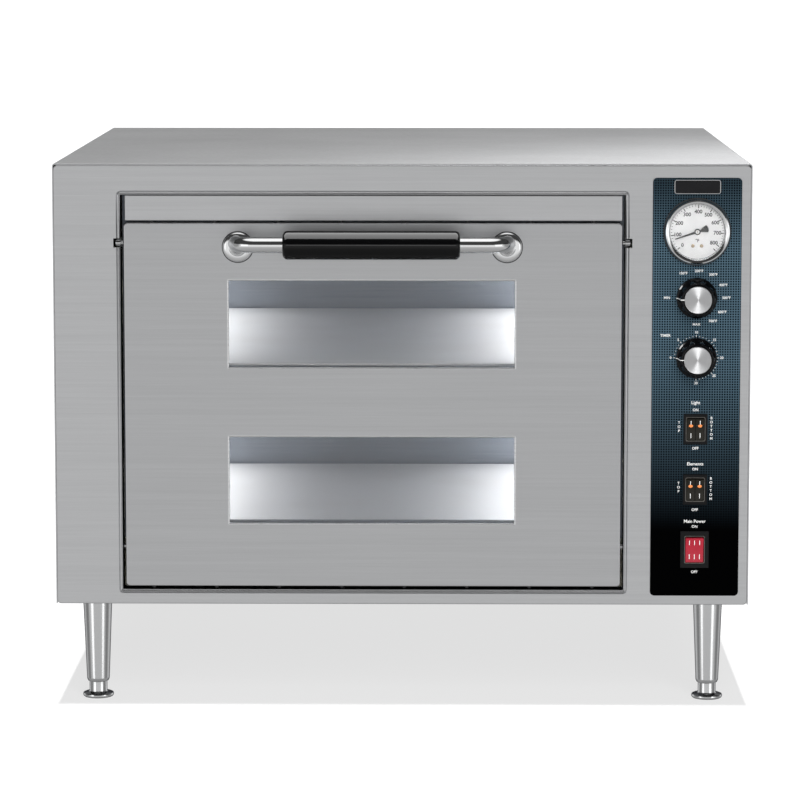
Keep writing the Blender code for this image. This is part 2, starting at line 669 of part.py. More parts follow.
def build_knob(control, height):
    """The body behind the panel with its shaft, the fluted knob and the cap on it."""
    body_depth = 0.034
    body = box(f"{control}_body", (PANEL_X - 0.020, FRONT + 0.003, height - 0.020),
               (PANEL_X + 0.020, FRONT + 0.003 + body_depth, height + 0.020), "aluminised_steel")
    shaft_front = PANEL_FACE - 0.013
    shaft = cylinder(f"add_{control}_shaft", (PANEL_X, (shaft_front + FRONT + 0.01) / 2, height),
                     SHAFT_RADIUS, FRONT + 0.01 - shaft_front, FORWARD, sides=20)
    join(body, shaft)
    axis = pivot(f"{control}_knob_axis", (PANEL_X, PANEL_FACE, height))
    back = PANEL_FACE - 0.0005
    outline = fluted_outline(KNOB_RADIUS, 0.0012, KNOB_FLUTES)
    knob = flat_piece(f"{control}_knob", [outline], KNOB_HEIGHT, (PANEL_X, back - KNOB_HEIGHT / 2, height),
                      FORWARD, "black_plastic", axis)
    solid = as_mesh(knob)
    socket_depth = 0.0140
    cut(solid, cylinder(f"cut_{control}_bore", (PANEL_X, back - socket_depth / 2 + 0.005, height),
                        SHAFT_RADIUS + 0.0004, socket_depth + 0.010, FORWARD, parent=axis))
    cap = [(0, 0.0014), (KNOB_CAP_RADIUS - 0.0008, 0.0014), (KNOB_CAP_RADIUS, 0.0008),
           (KNOB_CAP_RADIUS, 0), (0, 0)]
    cap_base = back - KNOB_HEIGHT - GAP
    turned(f"{control}_knob_cap", cap, (PANEL_X, cap_base, height), FORWARD, "spun_aluminium", axis, sides=40)


def as_mesh(thing):
    """Turn a curve object into a mesh object with welded caps, in the same place."""
    bpy.context.view_layer.update()
    seen = thing.evaluated_get(bpy.context.evaluated_depsgraph_get())
    mesh = bpy.data.meshes.new_from_object(seen)
    shape = bmesh.new()
    shape.from_mesh(mesh)
    bmesh.ops.remove_doubles(shape, verts=shape.verts, dist=FINE_MERGE)
    shape.to_mesh(mesh)
    shape.free()
    solid = bpy.data.objects.new("solid", mesh)
    solid.parent = thing.parent
    solid.location = thing.location
    solid.rotation_euler = thing.rotation_euler
    for group in thing.users_collection:
        group.objects.link(solid)
    name = thing.name
    bpy.data.objects.remove(thing, do_unlink=True)
    solid.name = name
    return solid


def rocker_outline(length):
    """Side view of a rocker, across from front (negative) to back, around its pivot."""
    half = length / 2
    front = -0.0040
    dip = 0.0014
    outline = []
    for step in range(9):
        along = -1 + step / 4
        outline.append((front + dip * (1 - along * along), half * along))
    return outline + [(0.0010, half), (0.0045, 0.003), (0.0045, -0.003), (0.0010, -half)]


def build_switch(name, height, width, tall, rockers):
    """A bezel and housing with one cavity, and its rockers, each on its own pivot."""
    size = POWER_ROCKER if len(rockers) == 1 else TWIN_ROCKER
    reach = max(abs(offset) for offset in rockers.values()) + size[0] / 2
    face = PANEL_FACE - GAP
    housing = box(f"{name}_housing", (PANEL_X - width / 2, face - 0.0020, height - tall / 2),
                  (PANEL_X + width / 2, face, height + tall / 2), "black_plastic")
    body = box(f"add_{name}_body", (PANEL_X - width / 2 + 0.0018, face - 0.001, height - tall / 2 + 0.0018),
               (PANEL_X + width / 2 - 0.0018, FRONT + 0.024, height + tall / 2 - 0.0018))
    room = box(f"cut_{name}_room", (PANEL_X - reach - 0.0004, face - 0.01, height - size[1] / 2 - 0.0007),
               (PANEL_X + reach + 0.0004, FRONT + 0.012, height + size[1] / 2 + 0.0007))
    join(housing, body)
    cut(housing, room)
    for rocker, offset in rockers.items():
        place = (PANEL_X + offset, ROCKER_PIVOT_Y, height)
        axis = pivot(f"{rocker}_axis", place)
        colour = "red_lens" if size == POWER_ROCKER else "black_plastic"
        flat_piece(rocker, [rocker_outline(size[1])], size[0], place, ROCKER_TURN, colour, axis)


def build_legs():
    """Four tapered legs, each with a foot on a stud that slides in its bore."""
    top = UNDERSIDE - GAP
    bore = FOOT_STUD_RADIUS + 0.0005
    leg = [(0, top), (LEG_TOP_RADIUS, top), (LEG_END_RADIUS, 0.019), (LEG_END_RADIUS - 0.0012, LEG_END_Z),
           (bore, LEG_END_Z), (bore, FOOT_STUD_TOP + 0.003), (0, FOOT_STUD_TOP + 0.003)]
    neck = 0.0093
    foot = [(0, FOOT_STUD_TOP), (FOOT_STUD_RADIUS, FOOT_STUD_TOP), (FOOT_STUD_RADIUS, LEG_END_Z - GAP),
            (neck, LEG_END_Z - GAP), (neck, 0.0048), (FOOT_RADIUS - 0.001, 0.0048), (FOOT_RADIUS, 0.0038),
            (FOOT_RADIUS, 0.0010), (FOOT_RADIUS - 0.001, 0), (0, 0)]
    for end, y in (("front", FRONT + LEG_INSET), ("rear", REAR - LEG_INSET)):
        for side, x in (("left", -LEG_X), ("right", LEG_X)):
            turned(f"leg_{end}_{side}", leg, (x, y, 0), (0, 0, 0), "satin_steel")
            axis = pivot(f"foot_{end}_{side}_axis", (x, y, 0))
            turned(f"foot_{end}_{side}", foot, (x, y, 0), (0, 0, 0), "satin_steel", axis)


def build_gland():
    """The cord's gland on the rear panel."""
    reach = GLAND_REACH
    gland = [(0.0050, reach), (0.0075, reach), (0.0100, 0.006), (0.0140, 0.006), (0.0140, GAP),
             (0.0100, GAP), (0.0100, -0.012), (0.0050, -0.012)]
    turn = (math.radians(-90), 0, 0)
    turned("cord_gland", gland, (GLAND_X, REAR, GLAND_Z), turn, "black_plastic", ring=True)


build_front_frame()
build_outer_wrap()
build_base_and_rear()
wool = build_inner_sheets()
chamber = build_chamber_liner()
build_decks()
build_elements(chamber, wool)
build_lamps()
build_door()
build_panel()
build_gauge()
for knob_name, knob_height in KNOB_HEIGHTS.items():
    build_knob(knob_name, knob_height)
for switch_name, switch in SWITCHES.items():
    build_switch(switch_name, *switch)
build_legs()
build_gland()
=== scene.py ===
"""Looks of the countertop pizza oven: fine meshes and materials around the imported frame."""
import math

import bmesh
import bpy
from mathutils import Matrix, Vector


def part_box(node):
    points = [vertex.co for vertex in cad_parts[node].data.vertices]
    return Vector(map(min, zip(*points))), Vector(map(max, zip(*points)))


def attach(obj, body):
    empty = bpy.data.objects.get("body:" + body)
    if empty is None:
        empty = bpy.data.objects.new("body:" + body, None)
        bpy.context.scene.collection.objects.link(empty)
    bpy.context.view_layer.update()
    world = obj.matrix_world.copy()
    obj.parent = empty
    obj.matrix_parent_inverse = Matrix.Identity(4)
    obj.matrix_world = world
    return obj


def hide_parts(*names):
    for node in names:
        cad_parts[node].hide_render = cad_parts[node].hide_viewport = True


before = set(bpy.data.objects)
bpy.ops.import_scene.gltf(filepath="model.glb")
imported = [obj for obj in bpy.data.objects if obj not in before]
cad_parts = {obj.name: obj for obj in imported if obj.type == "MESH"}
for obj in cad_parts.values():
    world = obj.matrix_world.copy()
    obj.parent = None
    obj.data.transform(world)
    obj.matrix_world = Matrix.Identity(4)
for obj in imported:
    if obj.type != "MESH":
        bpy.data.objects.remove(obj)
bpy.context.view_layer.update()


def middle(node):
    """Centre of a CAD node's box."""
    low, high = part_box(node)
    return (low + high) / 2


# Places read from the frame
FACE_LOW, FACE_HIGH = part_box("front_frame")
WRAP_LOW, WRAP_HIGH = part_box("outer_wrap")
DOOR_LOW, DOOR_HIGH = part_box("door_skin")
LINTEL_LOW, LINTEL_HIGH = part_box("lintel_panel")
LINER_LOW, LINER_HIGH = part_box("chamber_liner")
PANEL_LOW, PANEL_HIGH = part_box("control_overlay")
FRONT = FACE_LOW.y
PANEL_X = (PANEL_LOW.x + PANEL_HIGH.x) / 2
PANEL_Z = (PANEL_LOW.z + PANEL_HIGH.z) / 2
PANEL_FACE = PANEL_LOW.y

# Sheet and opening
SHEET = 0.0015
OPENING_LEFT = LINER_LOW.x
OPENING_RIGHT = LINER_HIGH.x
OPENING_HIGH = LINER_HIGH.z
OPENING_LOW = DOOR_LOW.z - 0.0033
BEND = 0.0010
# (distance out from the opening's edge, depth) across the beaded lip
LIP = ((0.0044, 0), (0.0040, 0.0006), (0.0036, 0.0008), (0.0032, 0.0003), (0.0027, -0.0003),
       (0.0021, -0.0006), (0.0015, -0.0004), (0.0011, 0.0001), (0.0009, 0.0006), (0.0006, 0.0007),
       (0.0003, 0.0005), (0.0001, 0.0008), (0, 0.0014))
JAMB_DEPTH = 0.020
RIM_DEPTH = 0.014
# Notches in the jambs for the door's catch studs
NOTCH_REACH = 0.0070
NOTCH_HALF = 0.0047
NOTCH_DEPTH = 0.0125
WINDOW_OVERLAP = 0.010
SMOOTH_DEG = 32

# Louvres low down at the back of the right side
LOUVRES = 8
LOUVRE_PITCH = 0.016
LOUVRE_LOW, LOUVRE_HIGH = 0.150, 0.215

# Gasket clips in the gaps above and below the door
CLIPS = 8
CLIP_PITCH = 0.06425

# Controls
KNOB_PLACES = {"thermostat": middle("thermostat_knob").z, "timer": middle("timer_knob").z}
GAUGE_Z = middle("gauge_case").z
TWIN_SWITCHES = {"light": middle("light_switch_housing").z, "element": middle("element_switch_housing").z}
POWER_Z = middle("power_switch_housing").z
GRID_PITCH = 0.00257
LABEL = 0.0036
TITLE = 0.0046
DIAL_RADIUS = 0.0276
DIAL_TOP_VALUE = 400
DIAL_TOP_DEG = 2.5
NEEDLE_REST_DEG = 108.5

FORWARD = Matrix.Rotation(math.radians(90), 4, "X")


# ---------------------------------------------------------------- node helpers

class Nodes:
    """Adds and links the nodes of one tree."""

    def __init__(self, tree):
        self.tree = tree

    def node(self, kind, settings=None, **inputs):
        """Add a node; inputs are values, or sockets to link from."""
        made = self.tree.nodes.new(kind)
        for name, value in (settings or {}).items():
            setattr(made, name, value)
        for name, value in inputs.items():
            self.feed(made.inputs[name.replace("_", " ")], value)
        return made

    def feed(self, socket, value):
        """Set a socket, or link another socket to it."""
        if isinstance(value, bpy.types.NodeSocket):
            self.tree.links.new(value, socket)
        else:
            socket.default_value = value

    def math(self, operation, *values):
        """One math node's result."""
        made = self.tree.nodes.new("ShaderNodeMath")
        made.operation = operation
        for socket, value in zip(made.inputs, values):
            self.feed(socket, value)
        return made.outputs[0]

    def span(self, factor, low, high, start=0.0, end=1.0):
        """A factor from start..end remapped to low..high."""
        made = self.tree.nodes.new("ShaderNodeMapRange")
        for index, value in enumerate((factor, start, end, low, high)):
            self.feed(made.inputs[index], value)
        return made.outputs[0]


class Look(Nodes):
    """A Principled material and the nodes that feed it."""

    def __init__(self, name, colour, metallic=0.0, roughness=0.5, **sockets):
        self.material = bpy.data.materials.new(name)
        self.material.use_nodes = True
        super().__init__(self.material.node_tree)
        self.shader = self.tree.nodes["Principled BSDF"]
        self.shader.inputs["Base Color"].default_value = (*colour, 1)
        self.shader.inputs["Metallic"].default_value = metallic
        self.shader.inputs["Roughness"].default_value = roughness
        for socket, value in sockets.items():
            self.shader.inputs[socket.replace("_", " ")].default_value = value

    def place(self):
        """The object's own coordinates, in metres."""
        return self.node("ShaderNodeTexCoord").outputs["Object"]

    def noise(self, scale, stretch=(1, 1, 1), detail=3, rough=0.55):
        """Noise over the object's own coordinates, stretched along its axes."""
        mapped = self.node("ShaderNodeMapping", Vector=self.place(), Scale=stretch)
        made = self.node("ShaderNodeTexNoise", Vector=mapped.outputs[0], Scale=scale, Detail=detail,
                         Roughness=rough)
        return made.outputs["Fac"]

    def between(self, factor, low, high):
        """Two colours mixed by a factor."""
        mix = self.node("ShaderNodeMix", {"data_type": "RGBA"})
        self.feed(mix.inputs["Factor"], factor)
        mix.inputs[6].default_value = (*low, 1)
        mix.inputs[7].default_value = (*high, 1)
        return mix.outputs[2]

    def paint(self, socket, value):
        """Feed one of the shader's sockets."""
        self.feed(self.shader.inputs[socket], value)

    def bump(self, height, strength, distance):
        """Fine relief."""
        made = self.node("ShaderNodeBump", Height=height, Strength=strength, Distance=distance)
        self.tree.links.new(made.outputs[0], self.shader.inputs["Normal"])


def shades(colour, down, up):
    """A darker and a lighter version of a colour."""
    return tuple(c * down for c in colour), tuple(min(1, c * up) for c in colour)


# ---------------------------------------------------------------- materials

def brushed(name, colour, roughness, fine, coarse, contrast=0.06, bump=0.25):
    """Brushed sheet: fine scratches and faint wider streaks along the grain."""
    look = Look(name, colour, 1.0, roughness)
    scratch = look.noise(1.0, fine, detail=4, rough=0.65)
    streak = look.noise(1.0, coarse, detail=2)
    blend = look.math("ADD", look.math("MULTIPLY", scratch, 0.55), look.math("MULTIPLY", streak, 0.45))
    low, high = shades(colour, 1 - contrast, 1 + contrast)
    look.paint("Base Color", look.between(look.span(blend, 0, 1, 0.32, 0.68), low, high))
    look.paint("Roughness", look.span(scratch, roughness - 0.05, roughness + 0.05, 0.3, 0.7))
    look.bump(scratch, bump, 0.00006)
    return look.material


def mottled(name, colour, roughness, scale=420):
    """Sheet steel seen along its surface, with a soft mottle instead of clear lines."""
    look = Look(name, colour, 1.0, roughness)
    grain = look.noise(scale, (0.45, 1, 1), detail=5, rough=0.7)
    cloud = look.noise(7, (1, 1, 1), detail=2)
    blend = look.math("ADD", look.math("MULTIPLY", grain, 0.7), look.math("MULTIPLY", cloud, 0.3))
    low, high = shades(colour, 0.88, 1.12)
    look.paint("Base Color", look.between(look.span(blend, 0, 1, 0.34, 0.66), low, high))
    look.paint("Roughness", look.span(grain, roughness - 0.05, roughness + 0.06, 0.3, 0.7))
    look.bump(grain, 0.3, 0.00008)
    return look.material


def polished(name, colour, roughness, **sockets):
    """Turned and polished metal with faint rings around the part's own axis."""
    look = Look(name, colour, 1.0, roughness, **sockets)
    rings = look.noise(1.0, (40, 40, 2500), detail=2)
    low, high = shades(colour, 0.94, 1.05)
    look.paint("Base Color", look.between(rings, low, high))
    look.paint("Roughness", look.span(rings, roughness * 0.7, roughness * 1.35, 0.3, 0.7))
    look.bump(rings, 0.1, 0.00002)
    return look.material


def plastic(name, colour, roughness, texture=900, bump=0.08, **sockets):
    """Moulded plastic with a very fine grain and faint handling marks."""
    look = Look(name, colour, 0.0, roughness, **sockets)
    grain = look.noise(texture, detail=3)
    smear = look.noise(60, detail=3)
    low, high = shades(colour, 0.88, 1.15)
    look.paint("Base Color", look.between(smear, low, high))
    look.paint("Roughness", look.span(smear, roughness * 0.8, roughness * 1.25, 0.3, 0.7))
    look.bump(grain, bump, 0.00003)
    return look.material


def spun_aluminium():
    """Cap face brushed outwards from its middle, so that its highlights fan out."""
    look = Look("spun_aluminium", (0.90, 0.905, 0.915), 1.0, 0.36, Anisotropic=1.0)
    tangent = look.node("ShaderNodeTangent", {"direction_type": "RADIAL", "axis": "Z"})
    look.tree.links.new(tangent.outputs[0], look.shader.inputs["Tangent"])
    parts = look.node("ShaderNodeSeparateXYZ", Vector=look.place())
    bearing = look.math("ARCTAN2", parts.outputs[1], parts.outputs[0])
    streak = look.node("ShaderNodeTexNoise", {"noise_dimensions": "1D"}, W=bearing, Scale=70.0, Detail=3.0)
    look.paint("Base Color", look.between(streak.outputs[0], (0.80, 0.805, 0.815), (0.96, 0.965, 0.975)))
    look.paint("Roughness", look.span(streak.outputs[0], 0.33, 0.39))
    return look.material


def panel_print():
    """Blue-grey grid lines over near-black squares, which fade to black down the panel."""
    look = Look("panel_print", (0.02, 0.03, 0.04), 0.0, 0.38, Specular_IOR_Level=0.01)
    parts = look.node("ShaderNodeSeparateXYZ", Vector=look.place())
    lines = []
    for axis in (0, 1):
        wave = look.math("COSINE", look.math("MULTIPLY", parts.outputs[axis], 2 * math.pi / GRID_PITCH))
        lines.append(look.span(wave, 0, 1, 0.05, 0.80))
    grid = look.math("MAXIMUM", *lines)
    height = parts.outputs[1]
    low_fade = look.math("POWER", look.span(height, 0, 1, -0.148, 0.030), 1.3)
    high_fade = look.span(height, 1, 0.3, 0.146, 0.2075)
    fade = look.math("MULTIPLY", low_fade, high_fade)
    squares = look.between(fade, (0.0002, 0.0002, 0.0003), (0.0006, 0.0012, 0.0018))
    bright = look.between(fade, (0.0002, 0.0002, 0.0003), (0.062, 0.107, 0.142))
    mix = look.node("ShaderNodeMix", {"data_type": "RGBA"})
    look.feed(mix.inputs["Factor"], grid)
    look.feed(mix.inputs[6], squares)
    look.feed(mix.inputs[7], bright)
    look.paint("Base Color", mix.outputs[2])
    look.bump(look.noise(700, detail=2), 0.05, 0.00003)
    return look.material


def fired_stone():
    """Pale fired stone: speckle, faint baking stains, and pores."""
    look = Look("fired_stone", (0.60, 0.60, 0.61), 0.0, 0.80)
    speckle = look.noise(900, detail=4, rough=0.8)
    stain = look.noise(9, detail=5, rough=0.6)
    base = look.between(look.span(speckle, 0, 1, 0.35, 0.65), (0.56, 0.562, 0.575), (0.62, 0.623, 0.635))
    mix = look.node("ShaderNodeMix", {"data_type": "RGBA", "blend_type": "MULTIPLY"})
    look.feed(mix.inputs["Factor"], look.span(stain, 0, 0.55, 0.45, 0.75))
    look.feed(mix.inputs[6], base)
    mix.inputs[7].default_value = (0.90, 0.88, 0.87, 1)
    look.paint("Base Color", mix.outputs[2])
    look.paint("Roughness", look.span(speckle, 0.78, 0.95))
    look.bump(speckle, 0.5, 0.0003)
    return look.material


def heated_sheath():
    """Oxidised element sheath: dark, with brown and blue heat tints."""
    look = Look("heated_sheath", (0.09, 0.08, 0.075), 0.85, 0.42)
    tint = look.noise(26, detail=4)
    blend = look.span(tint, 0, 1, 0.35, 0.65)
    look.paint("Base Color", look.between(blend, (0.05, 0.055, 0.07), (0.15, 0.10, 0.07)))
    look.paint("Roughness", look.span(tint, 0.34, 0.52))
    look.bump(look.noise(1500, detail=3), 0.2, 0.0001)
    return look.material


def clear_glass(name, tint):
    """Clear glass with a hardly visible film on it."""
    look = Look(name, tint, 0.0, 0.0, Transmission_Weight=1.0, IOR=1.45)
    film = look.noise(14, detail=3)
    look.paint("Base Color", look.between(film, tuple(0.98 * c for c in tint), tint))
    return look.material


def woven_gasket():
    """Dark heat-proof braid."""
    look = Look("woven_gasket", (0.05, 0.05, 0.05), 0.0, 0.85)
    weave = look.node("ShaderNodeTexVoronoi", Vector=look.place(), Scale=900.0).outputs["Distance"]
    look.paint("Base Color", look.between(weave, (0.025, 0.025, 0.026), (0.11, 0.11, 0.11)))
    look.bump(weave, 0.6, 0.0004)
    return look.material


def blanket_wool():
    """Matted ceramic wool."""
    look = Look("blanket_wool", (0.75, 0.71, 0.58), 0.0, 1.0)
    fibre = look.noise(260, (1, 0.3, 1), detail=6, rough=0.8)
    look.paint("Base Color", look.between(fibre, (0.60, 0.56, 0.44), (0.84, 0.81, 0.70)))
    look.bump(fibre, 0.8, 0.001)
    return look.material


STEEL = (0.655, 0.661, 0.671)
# Stretches of the noise for fine and for wide brush marks along X
FINE, WIDE = (22, 22, 2200), (5, 5, 420)
LOOKS = {
    "face_steel": brushed("face_steel", STEEL, 0.37, FINE, WIDE),
    "door_steel": brushed("door_steel", (0.590, 0.596, 0.606), 0.37, FINE, WIDE),
    "side_steel": brushed("side_steel", STEEL, 0.36, (400, 22, 2200), (50, 5, 420)),
    # Same sheet as the sides, in a lighter colour: painted highlight on the top faces
    "top_steel": mottled("top_steel", (0.80, 0.805, 0.815), 0.42),
    "inner_steel": brushed("inner_steel", (0.27, 0.295, 0.335), 0.42, (30, 30, 1500), (6, 6, 300), 0.12),
    "dull_sheet": mottled("dull_sheet", (0.42, 0.43, 0.45), 0.45, 260),
    # The near-black specular tint darkens the legs' edges: painted shade along their outlines
    "leg_steel": polished("leg_steel", (0.60, 0.605, 0.61), 0.16, Specular_Tint=(0.08, 0.08, 0.09, 1)),
    # Lighter than the door sheet that the window edges are rolled from: painted highlight
    "trim_steel": brushed("trim_steel", (0.86, 0.865, 0.875), 0.30, FINE, WIDE),
    # Near-black sheet for the opening's jamb faces: painted shade, not a real finish of the steel
    "painted_shade_sheet": mottled("painted_shade_sheet", (0.020, 0.020, 0.023), 0.6, 260),
    "satin_turned": polished("satin_turned", (0.60, 0.605, 0.61), 0.16),
    "chrome": polished("chrome", (0.88, 0.885, 0.89), 0.07),
    "grip_black": plastic("grip_black", (0.0008, 0.0008, 0.0009), 0.10, 1200, 0.01,
                          Specular_IOR_Level=0.25),
    "knob_black": plastic("knob_black", (0.0012, 0.0012, 0.0015), 0.10, 1200, 0.01,
                          Specular_IOR_Level=0.22),
    "switch_black": plastic("switch_black", (0.004, 0.004, 0.0045), 0.42, Specular_IOR_Level=0.2),
    "rocker_smoke": plastic("rocker_smoke", (0.010, 0.009, 0.006), 0.20, Specular_IOR_Level=0.3),
    "rocker_red": plastic("rocker_red", (0.34, 0.010, 0.026), 0.16, 700, 0.04),
    "neon_orange": plastic("neon_orange", (0.78, 0.24, 0.06), 0.25),
    "print_white": plastic("print_white", (0.80, 0.80, 0.79), 0.45),
    "print_grey": plastic("print_grey", (0.016, 0.018, 0.022), 0.5),
    "needle_black": plastic("needle_black", (0.008, 0.010, 0.010), 0.5),
    "dial_white": plastic("dial_white", (0.90, 0.90, 0.905), 0.5, 500, 0.02),
    "brass": polished("brass", (0.36, 0.29, 0.20), 0.34),
    "badge_black": plastic("badge_black", (0.003, 0.003, 0.004), 0.3, Specular_IOR_Level=0.25),
    "spun_aluminium": spun_aluminium(),
    "panel_print": panel_print(),
    "stone": fired_stone(),
    "sheath": heated_sheath(),
    "door_glass": clear_glass("door_glass", (0.95, 0.955, 0.95)),
    "lens_glass": clear_glass("lens_glass", (0.98, 0.98, 0.98)),
    "gasket": woven_gasket(),
    "wool": blanket_wool(),
    "rim_grey": plastic("rim_grey", (0.085, 0.080, 0.072), 0.3),
    # Black of the gasket clips, also used for the painted shadow rings behind the rosettes and the gauge
    # bezel
    "clip_black": plastic("clip_black", (0.010, 0.010, 0.011), 0.35),
}


# ---------------------------------------------------------------- mesh helpers

def finish_piece(name, shape, look, body, nodes=(), turn=None, place=None):
    """Turn a bmesh into a shown piece that rides on a body and may stand for CAD nodes."""
    bmesh.ops.remove_doubles(shape, verts=shape.verts, dist=1e-7)
    bmesh.ops.recalc_face_normals(shape, faces=shape.faces)
    mesh = bpy.data.meshes.new(name)
    shape.to_mesh(mesh)
    shape.free()
    for key in (look if isinstance(look, (list, tuple)) else [look]):
        mesh.materials.append(LOOKS[key])
    thing = bpy.data.objects.new(name, mesh)
    bpy.context.scene.collection.objects.link(thing)
    matrix = Matrix.Translation(place) if place is not None else Matrix.Identity(4)
    thing.matrix_world = matrix @ turn if turn is not None else matrix
    settle_normals(thing)
    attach(thing, body)
    if nodes:
        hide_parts(*nodes)
    return thing


def settle_normals(thing):
    """Smooth shading in which the large flat faces stay flat."""
    thing.data.shade_smooth()
    thing.data.set_sharp_from_angle(angle=math.radians(SMOOTH_DEG))
    thing.modifiers.new("normals", "WEIGHTED_NORMAL").keep_sharp = True
    bake_modifiers(thing)


def ring_of(shape, points):
    """A ring of vertices."""
    return [shape.verts.new(point) for point in points]


def bridge(shape, first, second, material=0):
    """Quads, or a fan, between two rings."""
    if len(first) == 1 and len(second) == 1:
        return
    count = max(len(first), len(second))
    for index in range(count):
        after = (index + 1) % count
        corners = [first[index % len(first)], first[after % len(first)],
                   second[after % len(second)], second[index % len(second)]]
        unique = []
        for corner in corners:
            if corner not in unique:
                unique.append(corner)
        face = shape.faces.new(unique)
        face.material_index = material


def stack(shape, rings, closed=False):
    """Bridge each ring to the next one, and the last to the first when closed."""
    for first, second in zip(rings, rings[1:] + (rings[:1] if closed else [])):
        bridge(shape, first, second)


def lathe(profile, steps=64, closed=False, wave=None):
    """Turned surface around Z from (radius, height) points; wave cuts into the radius by angle and height."""
    shape = bmesh.new()
    rings = []
    for radius, height in profile:
        if radius < 1e-7:
            rings.append([shape.verts.new((0, 0, height))])
            continue
        points = []
        for step in range(steps):
            angle = 2 * math.pi * step / steps
            reach = radius - (wave(angle, height) if wave else 0)
            points.append((reach * math.cos(angle), reach * math.sin(angle), height))
        rings.append(ring_of(shape, points))
    stack(shape, rings, closed)
    return shape


def arc(centre, radius, start, end, steps):
    """Points along an arc, angles in degrees, both ends included."""
    points = []
    for step in range(steps + 1):
        angle = math.radians(start + (end - start) * step / steps)
        points.append((centre[0] + radius * math.cos(angle), centre[1] + radius * math.sin(angle)))
    return points


def rounded(width, height, corner, steps=6):
    """A round-cornered rectangle around the origin."""
    across, up = width / 2 - corner, height / 2 - corner
    points = []
    for x, y, start in ((across, up, 0), (-across, up, 90), (-across, -up, 180), (across, -up, 270)):
        points += arc((x, y), corner, start, start + 90, steps)
    return points


def frame_ring(shape, left, right, low, high, corner, y, steps=5):
    """A round-cornered rectangle of vertices in the plane at y."""
    corners = rounded(right - left, high - low, max(corner, 1e-5), steps)
    across, up = (left + right) / 2, (low + high) / 2
    return ring_of(shape, [(x + across, y, z + up) for x, z in corners])


def box_ring(shape, low, high, inset, corner, y, steps=5):
    """The outline of a box's front, set in on every side, in the plane at y."""
    return frame_ring(shape, low.x + inset, high.x - inset, low.z + inset, high.z - inset, corner, y, steps)


def plate(outlines, thickness, edge, edge_steps=2):
    """A flat plate in XY, centred in Z, with rounded edges; outlines after the first are holes."""
    curve = bpy.data.curves.new("plate", "CURVE")
    curve.dimensions = "2D"
    curve.fill_mode = "BOTH"
    curve.extrude = thickness / 2 - edge
    curve.bevel_depth = edge
    curve.bevel_resolution = edge_steps
    curve.offset = -edge
    for outline in outlines:
        spline = curve.splines.new("POLY")
        spline.points.add(len(outline) - 1)
        for point, (x, y) in zip(spline.points, outline):
            point.co = (x, y, 0, 1)
        spline.use_cyclic_u = True
    return curve_mesh(curve)


def curve_mesh(curve):
    """The bmesh of a curve or text."""
    holder = bpy.data.objects.new("holder", curve)
    bpy.context.scene.collection.objects.link(holder)
    bpy.context.view_layer.update()
    mesh = bpy.data.meshes.new_from_object(holder.evaluated_get(bpy.context.evaluated_depsgraph_get()))
    shape = bmesh.new()
    shape.from_mesh(mesh)
    bmesh.ops.remove_doubles(shape, verts=shape.verts, dist=2e-6)
    bpy.data.objects.remove(holder, do_unlink=True)
    bpy.data.curves.remove(curve)
    bpy.data.meshes.remove(mesh)
    return shape


def add_shape(target, extra, matrix=None):
    """Copy one bmesh into another."""
    if matrix is not None:
        bmesh.ops.transform(extra, matrix=matrix, verts=extra.verts)
    mesh = bpy.data.meshes.new("extra")
    extra.to_mesh(mesh)
    extra.free()
    target.from_mesh(mesh)
    bpy.data.meshes.remove(mesh)
    return target


def block(low, high, edge=0.0, steps=2):
    """A box between two corners with rounded edges."""
    shape = bmesh.new()
    bmesh.ops.create_cube(shape, size=1.0)
    size = [b - a for a, b in zip(low, high)]
    bmesh.ops.scale(shape, vec=size, verts=shape.verts)
    bmesh.ops.translate(shape, vec=[(a + b) / 2 for a, b in zip(low, high)], verts=shape.verts)
    if edge:
        bmesh.ops.bevel(shape, geom=shape.edges[:], offset=edge, segments=steps, profile=0.5,
                        affect="EDGES")
    return shape


def pipe(points, radius, sides=20):
    """A round rod along a row of points, with rounded caps."""
    curve = bpy.data.curves.new("pipe", "CURVE")
    curve.dimensions = "3D"
    curve.bevel_depth = radius
    curve.bevel_resolution = (sides - 4) // 2
    curve.use_fill_caps = True
    spline = curve.splines.new("POLY")
    spline.points.add(len(points) - 1)
    for point, place in zip(spline.points, points):
        point.co = (*place, 1)
    return curve_mesh(curve)


def words(text, size, across=0.0, up=0.0, bold=0.00005):
    """Raised lettering in XY, centred on a point."""
    curve = bpy.data.curves.new("words", "FONT")
    curve.body = text
    curve.size = size
    curve.align_x = "CENTER"
    curve.align_y = "CENTER"
    curve.extrude = 0.00006
    curve.offset = bold
    curve.resolution_u = 3
    shape = curve_mesh(curve)
    bmesh.ops.translate(shape, vec=(across, up, 0), verts=shape.verts)
    return shape


def slit(target, *cutters):
    """Cut boxes out of a finished piece."""
    for cutter in cutters:
        mesh = bpy.data.meshes.new("cutter")
        cutter.to_mesh(mesh)
        cutter.free()
        tool = bpy.data.objects.new("cutter", mesh)
        bpy.context.scene.collection.objects.link(tool)
        step = target.modifiers.new("cut", "BOOLEAN")
        step.operation = "DIFFERENCE"
        step.object = tool
        step.solver = "EXACT"
        bake_modifiers(target)
        bpy.data.objects.remove(tool, do_unlink=True)
        bpy.data.meshes.remove(mesh)
    settle_normals(target)


def bake_modifiers(thing):
    """Apply an object's modifiers to its mesh."""
    bpy.context.view_layer.update()
    mesh = bpy.data.meshes.new_from_object(thing.evaluated_get(bpy.context.evaluated_depsgraph_get()))
    thing.modifiers.clear()
    old = thing.data
    thing.data = mesh
    bpy.data.meshes.remove(old)


# ---------------------------------------------------------------- casing

